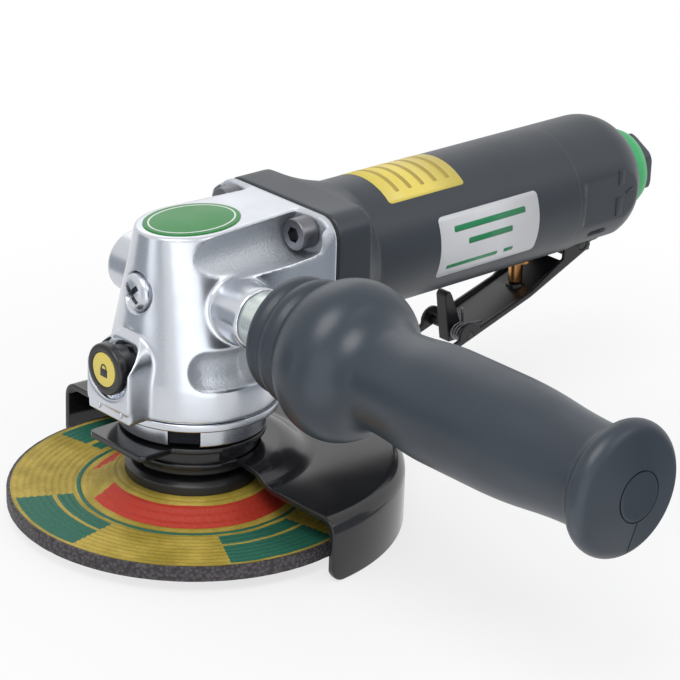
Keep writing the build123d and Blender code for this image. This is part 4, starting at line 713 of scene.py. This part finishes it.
for k in range(w["rings"] + 1):  # pressed rings on the upper face
    r = w["ridgeFrom"] + (w["ridgeTo"] - w["ridgeFrom"]) * k / w["rings"]
    upper = [e for e in bm.edges if all(onTop(v.co) for v in e.verts)]
    bmesh.ops.bisect_plane(bm, geom=bm.verts[:] + upper, plane_co=(r, 0, 0), plane_no=(1, 0, 0))
for vert in bm.verts:
    fade = min(1.0, vert.co.x - w["ridgeFrom"], w["ridgeTo"] - vert.co.x)
    if fade > 0 and onTop(vert.co):
        vert.co.z -= fade * w["ridge"] * (1 - math.sin(math.tau * vert.co.x / w["pitch"]))
bm = spun(bm, w["steps"])
random.seed(7)
for vert in bm.verts:  # the rim is worn a little, always inwards
    r = math.hypot(vert.co.x, vert.co.y)
    if r > w["radius"] - 0.6:
        bite = w["nibble"] * random.random() ** 2 * (0.4 + 0.6 * abs(noise.noise(vert.co * 0.35)))
        vert.co.x *= (r - bite) / r
        vert.co.y *= (r - bite) / r
piece(bm, "grindingWheel", "spindle", wheelAbrasive, ["grinding_wheel"], sharp=40)

hub = dict(radius=21.0, low=10.15, top=14.35, bore=7.05, pilot=11.0, pilotDrop=3.4)
pilotLow = hub["low"] - hub["pilotDrop"]
bm = spun([(hub["bore"], pilotLow, 0.2), (hub["pilot"], pilotLow, 0.3), (hub["pilot"], hub["low"]),
           (hub["radius"], hub["low"], 0.4), (hub["radius"], hub["top"] - 1.2, 0.3),
           (hub["radius"] - 1.6, hub["top"], 0.4), (hub["bore"], hub["top"], 0.2)], 128)
piece(bm, "wheelFlange", "spindle", blackOxide, ["inner_flange"], sharp=35)

nut = dict(radius=17.0, inner=13.0, bore=7.05, low=0.45, step=3.35, top=5.35, holeAt=10.2, hole=1.4,
           deep=3.0)
bm = spun([(nut["bore"], nut["low"], 0.4), (nut["inner"], nut["low"], 0.5),
           (nut["inner"], nut["step"], 0.3), (nut["radius"], nut["step"], 0.4),
           (nut["radius"], nut["top"], 0.3), (nut["bore"], nut["top"])], 96)
for side in (-1, 1):
    bm = carved(bm, prism(32, nut["hole"], nut["deep"] + 1, at=(side * nut["holeAt"], 0, nut["low"] - 1)))
piece(bm, "clampNut", "spindle", blackOxide, ["flange_nut"], sharp=35)
print("wheel done")

# spindle lock button with its sign

lock = dict(radius=8.0, face=-34.6, rim=3.2, stem=4.4, sleeveBore=5.65, sleeve=6.25, back=-27.1, z=52.1,
            dish=0.35, dishEnd=5.5, lipStart=5.8)
lockLong = lock["back"] - lock["face"]
lockAt = (lock["face"], 0, lock["z"])
bm = spun([(0, lock["dish"]), (lock["dishEnd"], lock["dish"], 0.2), (lock["lipStart"], 0, 0.3),
           (lock["radius"], 0, 0.8), (lock["radius"], lock["rim"], 0.5), (lock["sleeve"], lock["rim"], 0.3),
           (lock["sleeve"], lockLong, 0.15), (lock["sleeveBore"], lockLong, 0.15),
           (lock["sleeveBore"], lock["rim"]), (lock["stem"], lock["rim"]), (lock["stem"], lockLong),
           (0, lockLong)], 80, "x", lockAt)
piece(bm, "lockButton", "lock", buttonBlack, ["lock_button"], sharp=35)
sign = dict(radius=5.3, face=0.08, back=0.6, half=1.7, low=-2.3, high=0.3, front=0.02, deep=0.3, edge=0.12,
            bow=(0.85, 1.35), bowDeep=0.26, bowFront=0.03, bowUp=0.5)
disc = spun([(0, sign["face"]), (sign["radius"], sign["face"], 0.1), (sign["radius"], sign["back"]),
             (0, sign["back"])], 64, "x", lockAt)
piece(disc, "lockSign", "lock", labelYellow, sharp=40)
bodyMark = slab((lock["face"] + sign["front"], -sign["half"], lock["z"] + sign["low"]),
                (lock["face"] + sign["deep"], sign["half"], lock["z"] + sign["high"]), sign["edge"])
bowIn, bowOut = sign["bow"]
shackle = spun([(bowIn, 0), (bowOut, 0), (bowOut, sign["bowDeep"]), (bowIn, sign["bowDeep"])], 40, "x",
               (lock["face"] + sign["bowFront"], 0, lock["z"] + sign["bowUp"]))
piece(joined(bodyMark, shackle), "lockMark", "lock", printBlack, sharp=40)

# motor housing

housing = dict(voxel=0.5, rounds=5, keep=0.42, radius=21.75, flat=-20.2, emboss=0.35, slotFrom=153.0,
               slotTo=161.0, slotHalf=1.1, slotDeep=1.6, slotTurn=123.0)
slot = slab((housing["slotFrom"], -housing["slotHalf"], housing["radius"] - housing["slotDeep"]),
            (housing["slotTo"], housing["slotHalf"], housing["radius"] + 3), 0.9)
# the narrow recess lies low on the handle side
moved(rotated(slot, housing["slotTurn"], "X"), 0, 0, axisZ)
bm = softCopy("motor_housing", housing["voxel"], housing["rounds"], [slot], housing["keep"])
piece(bm, "motorShell", "housing", mouldedGrey, ["motor_housing"])

# raised scale beside the regulator: two bars and an index
face, proud = housing["flat"] + 0.3, housing["flat"] - housing["emboss"]
scale = dict(upper=(164.4, 73.4, 167.0, 78.5), lower=(163.7, 62.6, 166.6, 69.2), index=(169.9, 70.6),
             indexHalf=(1.6, 0.35), indexTurn=-22.0)
bars = [slab((x0, proud, z0), (x1, face, z1), 0.3) for x0, z0, x1, z1 in (scale["upper"], scale["lower"])]
halfX, halfZ = scale["indexHalf"]
index = rotated(slab((-halfX, proud, -halfZ), (halfX, face, halfZ), 0.2), scale["indexTurn"], "Y")
moved(index, scale["index"][0], 0, scale["index"][1])
piece(joined(*bars, index), "regulatorScale", "housing", mouldedGrey, sharp=40)
print("housing done")


def onTube(outlines, lift, x0, mid, sunk=0.15):  # flat outlines in mm, laid round the motor tube
    bm = bmesh.new()
    for outline in outlines:
        verts = [bm.verts.new((p[0], p[1], 0)) for p in outline]
        bm.faces.new(verts)
        cornered(bm, verts, outline, 5)
    ys = [v.co.y for v in bm.verts]
    steps = 40
    for k in range(1, steps):
        cut = min(ys) + (max(ys) - min(ys)) * k / steps
        everything = bm.verts[:] + bm.edges[:] + bm.faces[:]
        bmesh.ops.bisect_plane(bm, geom=everything, plane_co=(0, cut, 0), plane_no=(0, 1, 0))
    radius = housing["radius"] + lift
    for vert in bm.verts:
        a = math.radians(mid) - vert.co.y / housing["radius"]
        vert.co = (x0 + vert.co.x, radius * math.cos(a), axisZ + radius * math.sin(a))
    back = bmesh.ops.extrude_face_region(bm, geom=bm.faces[:], use_keep_orig=True)
    for vert in vertsOf(back):  # the back lies inside the tube's skin
        vert.co -= Vector((0, vert.co.y, vert.co.z - axisZ)).normalized() * (lift + sunk)
    return outward(bm)


def bar(x0, y0, x1, y1, r=0.0):
    corners = [(x0, y0), (x1, y0), (x1, y1), (x0, y1)]
    return [c + (r,) for c in corners] if r else corners


whiteMarks = [bar(6.0, 4.6, 37.5, 6.6, 0.5), bar(12.0, -0.4, 31.5, 1.6, 0.5), bar(3.5, -7.6, 26.0, -6.2, 0.4),
              bar(29.0, -7.6, 33.0, -6.2, 0.4)]
yellowMarks = [bar(5.0 + 5.4 * k, -11.5, 6.6 + 5.4 * k, 11.5 - 3.0 * (k % 2), 0.4) for k in range(5)]
labels = {
    "sideLabel": {"x": 82.0, "long": 43.7, "tall": 21.2, "mid": 180.0, "corner": 1.6, "paper": labelWhite,
                  "marks": whiteMarks, "ink": printGreen},
    "topLabel": {"x": 66.4, "long": 32.0, "tall": 30.5, "mid": 90.0, "corner": 1.2, "paper": labelYellow,
                 "marks": yellowMarks, "ink": stripeOlive},
}
paperLift, inkLift = 0.06, 0.09
for name, label in labels.items():
    sheet = [bar(0, -label["tall"] / 2, label["long"], label["tall"] / 2, label["corner"])]
    piece(onTube(sheet, paperLift, label["x"], label["mid"]), name, "housing", label["paper"])
    piece(onTube(label["marks"], inkLift, label["x"], label["mid"]), name + "Print", "housing",
          label["ink"])

# air inlet and regulator ring

ring = dict(front=180.3, back=187.0, frontRadius=14.4, backRadius=12.7, bore=8.05)
ringLong = ring["back"] - ring["front"]
bm = spun([(ring["bore"], 0), (ring["frontRadius"], 0, 0.5),
           (ring["frontRadius"] - 0.25, 3.4, 0.8), (ring["backRadius"], ringLong, 0.7),
           (ring["bore"], ringLong)], 96, along="x", at=(ring["front"], 0, axisZ))
piece(bm, "regulatorRing", "regulator", ringGreen, ["regulator_ring"], sharp=40)

inlet = dict(flats=19.3, start=187.3, end=192.5, hole=5.72, deep=12.0, shank=7.95, shankEnd=173.0,
             shankTop=0.05, pitch=1.34, threads=8, threadDeep=0.45, turn=30.0, edge=0.7, floor=5.2,
             threadFrom=5.9, mouth=((0.2, 4.7), (0.9, 5.3)),
             corners=((9.9, -0.01), (11.3, 0.9), (11.3, 3.9), (9.7, 5.21)))
hexagon = prism(6, inlet["flats"] / math.sqrt(3), inlet["end"] - inlet["start"], edge=inlet["edge"],
                turn=inlet["turn"])
corners = inlet["corners"]
ball = spun([(0, corners[0][1]), *corners, (0, corners[-1][1])])
hexagon = carved(hexagon, ball, "INTERSECT")  # turned corners
hole, holeFloor = inlet["hole"], -inlet["deep"] + inlet["floor"]
thread = [(0, holeFloor), (hole, holeFloor)]
for k in range(inlet["threads"]):
    z = -inlet["deep"] + inlet["threadFrom"] + inlet["pitch"] * k
    thread += [(hole, z), (hole + inlet["threadDeep"], z + inlet["pitch"] / 2)]
thread += [(hole + out, z) for out, z in inlet["mouth"]] + [(0, inlet["mouth"][-1][1])]
shankLow, shankTop = inlet["shankEnd"] - inlet["start"], inlet["shankTop"]
shank = spun([(0, shankLow), (inlet["shank"], shankLow), (inlet["shank"], shankTop), (0, shankTop)])
bm = joined(*[carved(part, spun(thread, 64)) for part in (hexagon, shank)])
placed(bm, "x", (inlet["start"], 0, axisZ))
piece(bm, "inletHexagon", "housing", inletBlack, ["inlet_bushing"], sharp=30)
print("inlet done")

# lever, latch, valve stem and their pins

lever = dict(voxel=0.2, rounds=10, keep=0.6, latchVoxel=0.15, latchRounds=10)
bm = softCopy("throttle_lever", lever["voxel"], lever["rounds"], keep=lever["keep"])
piece(bm, "throttleLever", "lever", satinBlack, ["throttle_lever"])
bm = softCopy("safety_latch", lever["latchVoxel"], lever["latchRounds"])
piece(bm, "safetyLatch", "latch", satinBlack, ["safety_latch"])
stemLow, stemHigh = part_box("valve_stem")
stem = dict(x=138.5, radius=2.4, low=stemLow.z / mm, high=stemHigh.z / mm)
bm = spun([(0, stem["low"]), (stem["radius"], stem["low"], 0.5), (stem["radius"], stem["high"], 0.3),
           (0, stem["high"])], 64, at=(stem["x"], 0, 0))
piece(bm, "valveStem", "valve", turnedBrass, ["valve_stem"], sharp=30)
for node, name, body in (("lever_pin", "leverPin", "housing"), ("latch_pin", "latchPin", "lever")):
    low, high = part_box(node)
    r = (high.z - low.z) / 2 / mm
    half = high.y / mm
    at = ((low.x + high.x) / 2 / mm, 0, (low.z + high.z) / 2 / mm)
    bm = spun([(0, -half), (r, -half, 0.4), (r, half, 0.4), (0, half)], 48, "y", at)
    piece(bm, name, body, blackOxide, [node], sharp=30)

# springs

springs = {"latch": {"voxel": 0.11, "rounds": 3}, "valve": {"radius": 3.6, "wire": 0.4, "turns": 6},
           "lock": {"radius": 5.1, "wire": 0.4, "turns": 3}}
bm = softCopy("latch_spring", springs["latch"]["voxel"], springs["latch"]["rounds"])
piece(bm, "latchSpring", "lever", darkSteel, ["latch_spring"])
low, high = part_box("valve_spring")
v = springs["valve"]
bm = wound(v["radius"], v["wire"], (high.z - low.z) / mm - 2 * v["wire"], v["turns"], "z",
           (stem["x"], 0, low.z / mm + v["wire"]))
obj = piece(bm, "valveSpring", "housing", groundSteel, ["valve_spring"])
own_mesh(obj)
low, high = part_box("lock_spring")
v = springs["lock"]
bm = wound(v["radius"], v["wire"], (high.x - low.x) / mm - 2 * v["wire"], v["turns"], "x",
           (low.x / mm + v["wire"], 0, lock["z"]))
obj = piece(bm, "lockSpring", "housing", groundSteel, ["lock_spring"])
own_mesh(obj)

# side handle

collar = dict(radius=9.0, start=31.2, end=43.6, bore=4.3)
bm = spun([(collar["bore"], collar["start"]), (collar["radius"], collar["start"], 0.6),
           (collar["radius"], collar["end"], 0.3), (collar["bore"], collar["end"])], 96, along="-y",
          at=(0, 0, axisZ))
piece(bm, "handleCollar", "housing", zincPlate, ["handle_collar"], sharp=35)
grip = dict(voxel=0.5, rounds=4, keep=0.75, plug=7.0, groove=0.4, deep=0.35, seam=10.4, slant=15.8)
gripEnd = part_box("handle_grip")[0].y / mm
bm = softCopy("handle_grip", grip["voxel"], grip["rounds"], keep=grip["keep"])
grooveOut, grooveDeep = grip["plug"] + grip["groove"], grip["deep"] + 0.4
ringCut = spun([(grip["plug"], -1), (grooveOut, -1), (grooveOut, grooveDeep), (grip["plug"], grooveDeep)],
               72, along="y", at=(0, gripEnd, axisZ))
seamCut = slab((-0.2, -1.0, -grip["seam"]), (0.2, grip["deep"], 0))  # parting line down the domed end
moved(rotated(seamCut, grip["slant"], "X"), 0, gripEnd, axisZ - grip["plug"] - 0.2)
bm = carved(carved(bm, ringCut), seamCut)
piece(bm, "handleGrip", "housing", slateRubber, ["handle_grip"], sharp=50)
print("handle done")

# camera and light

view = dict(at=(-0.51456, -0.63015, guardFoot * mm + 0.39788), turn=-42.357, tilt=22.687, roll=1.931,
            lens=153.33, sensor=36.0, clip=(0.05, 50.0))
a, e, r = (math.radians(view[k]) for k in ("turn", "tilt", "roll"))
back = Vector((math.sin(a) * math.cos(e), -math.cos(a) * math.cos(e), math.sin(e)))
right = Vector((math.cos(a), math.sin(a), 0))
up = back.cross(right)
camX = math.cos(r) * right + math.sin(r) * up
camY = -math.sin(r) * right + math.cos(r) * up
camera = bpy.data.cameras.new("camera")
camera.lens, camera.sensor_width, camera.sensor_fit = view["lens"], view["sensor"], "HORIZONTAL"
camera.clip_start, camera.clip_end = view["clip"]
camObj = linked("camera", camera)
camObj.matrix_world = Matrix.Translation(view["at"]) @ Matrix((camX, camY, back)).transposed().to_4x4()
scene.camera = camObj


def seenRays(tree):  # 1 where the camera or a reflection looks
    rays = put(tree, "LightPath").outputs
    direct = sums(tree, "MAXIMUM", rays["Is Camera Ray"], rays["Is Glossy Ray"])
    return sums(tree, "MAXIMUM", direct, rays["Is Transmission Ray"])


ground = dict(light=(0.86, 0.86, 0.86, 1), dark=(0.84, 0.84, 0.84, 1), middle=(-0.06, 0.03, 0), near=0.08,
              far=0.26, nearWhite=0.72, half=6000, gap=0.02)
floorLook, tree, shader = newMaterial("paleFloor", Roughness=0.9)
grainOut = useGroup(tree, grainGroup, grain=60.0, blotch=3.0)
pale = blendColour(tree, grainOut["Blotch"], ground["light"], ground["dark"])
tree.links.new(pale, shader.inputs["Base Color"])
spot = put(tree, "Mapping", {"Vector": put(tree, "TexCoord").outputs["Object"], "Location": ground["middle"]})
away = put(tree, "VectorMath", {0: spot.outputs[0]}, operation="LENGTH").outputs["Value"]
bare = span(tree, away, ground["near"], ground["far"], ground["nearWhite"], 1.0)  # white away from the tool
white = put(tree, "Emission", {"Color": (1, 1, 1, 1), "Strength": 1.0}).outputs[0]
mixed = put(tree, "MixShader", {0: times(tree, seenRays(tree), bare), 1: shader.outputs[0], 2: white})
tree.links.new(mixed.outputs[0], tree.nodes["Material Output"].inputs["Surface"])
bm = bmesh.new()
bmesh.ops.create_grid(bm, x_segments=2, y_segments=2, size=ground["half"])
moved(bm, 0, 0, guardFoot - ground["gap"])
floor = holder(scaled(bm, mm), "floor", floorLook)

world = bpy.data.worlds.new("studio")
scene.world = world
world.use_nodes = True
tree = world.node_tree
soft = tree.nodes["Background"]
soft.inputs["Color"].default_value = (0.98, 0.99, 1.0, 1)
soft.inputs["Strength"].default_value = 0.55
plain = put(tree, "Background", {"Color": (1, 1, 1, 1), "Strength": 1.0})
both = put(tree, "MixShader", {0: seenRays(tree), 1: soft.outputs[0], 2: plain.outputs[0]})
tree.links.new(both.outputs[0], tree.nodes["World Output"].inputs["Surface"])


def lamp(name, at, aim, size, watts):
    light = bpy.data.lights.new(name, "AREA")
    light.shape, light.size, light.energy = "DISK", size, watts
    obj = linked(name, light)
    aimed = (Vector(aim) - Vector(at)).to_track_quat("-Z", "Y").to_matrix().to_4x4()
    obj.matrix_world = Matrix.Translation(at) @ aimed


lamps = {  # place, aim, size, watts
    "keyLamp": ((-0.45, -0.35, 1.0), (0.05, -0.03, 0.05), 0.7, 6.0),
    "fillLamp": ((0.5, -1.0, 0.7), (0.05, -0.05, 0.05), 0.8, 2.2),
    "rearLamp": ((0.5, 0.9, 0.8), (0.05, 0.0, 0.05), 0.8, 1.0),
}
for name, values in lamps.items():
    lamp(name, *values)


def flag(name, bearing, near, reach, half, height, glow, cool):  # bent card that only reflections see
    look, tree, shader = newMaterial(name + "Cloth", Roughness=1.0)
    grainOut = useGroup(tree, grainGroup, grain=300.0, blotch=4.0)
    light = (glow * (1 - cool), glow, glow * (1 + cool), 1)
    colour = blendColour(tree, grainOut["Blotch"], light, tuple(1.1 * v for v in light[:3]) + (1,))
    cloth = put(tree, "Emission", {"Color": colour, "Strength": 1.0})
    tree.links.new(cloth.outputs[0], tree.nodes["Material Output"].inputs["Surface"])
    bm = bmesh.new()
    floorZ = (guardFoot + 1) * mm
    folds = ((near, floorZ), (reach, floorZ), (reach, height))  # along the floor, then up
    rows = [[bm.verts.new((x * y / reach, y, z)) for x in (-half, half)] for y, z in folds]
    for low, high in zip(rows, rows[1:]):
        bm.faces.new((low[0], low[1], high[1], high[0]))
    obj = holder(rotated(bm, bearing - 90), name, look)
    obj.visible_camera = obj.visible_diffuse = obj.visible_shadow = False
    obj.visible_transmission = obj.visible_volume_scatter = False


flags = {  # bearing, near and far end, half width, height, glow, coolness
    "flagLeft": (138, 0.18, 0.45, 0.18, 0.16, 0.43, 0.08),
    "flagSlim": (190, 0.25, 0.45, 0.05, 0.22, 0.61, 0.06),
    "flagRight": (307, 0.12, 0.45, 0.18, 0.25, 0.35, 0.09),
    "cardLeft": (169, 0.20, 0.50, 0.07, 0.20, 1.28, 0.03),
    "cardFront": (236, 0.14, 0.50, 0.20, 0.22, 1.74, 0.03),
}
for name, values in flags.items():
    flag(name, *values)
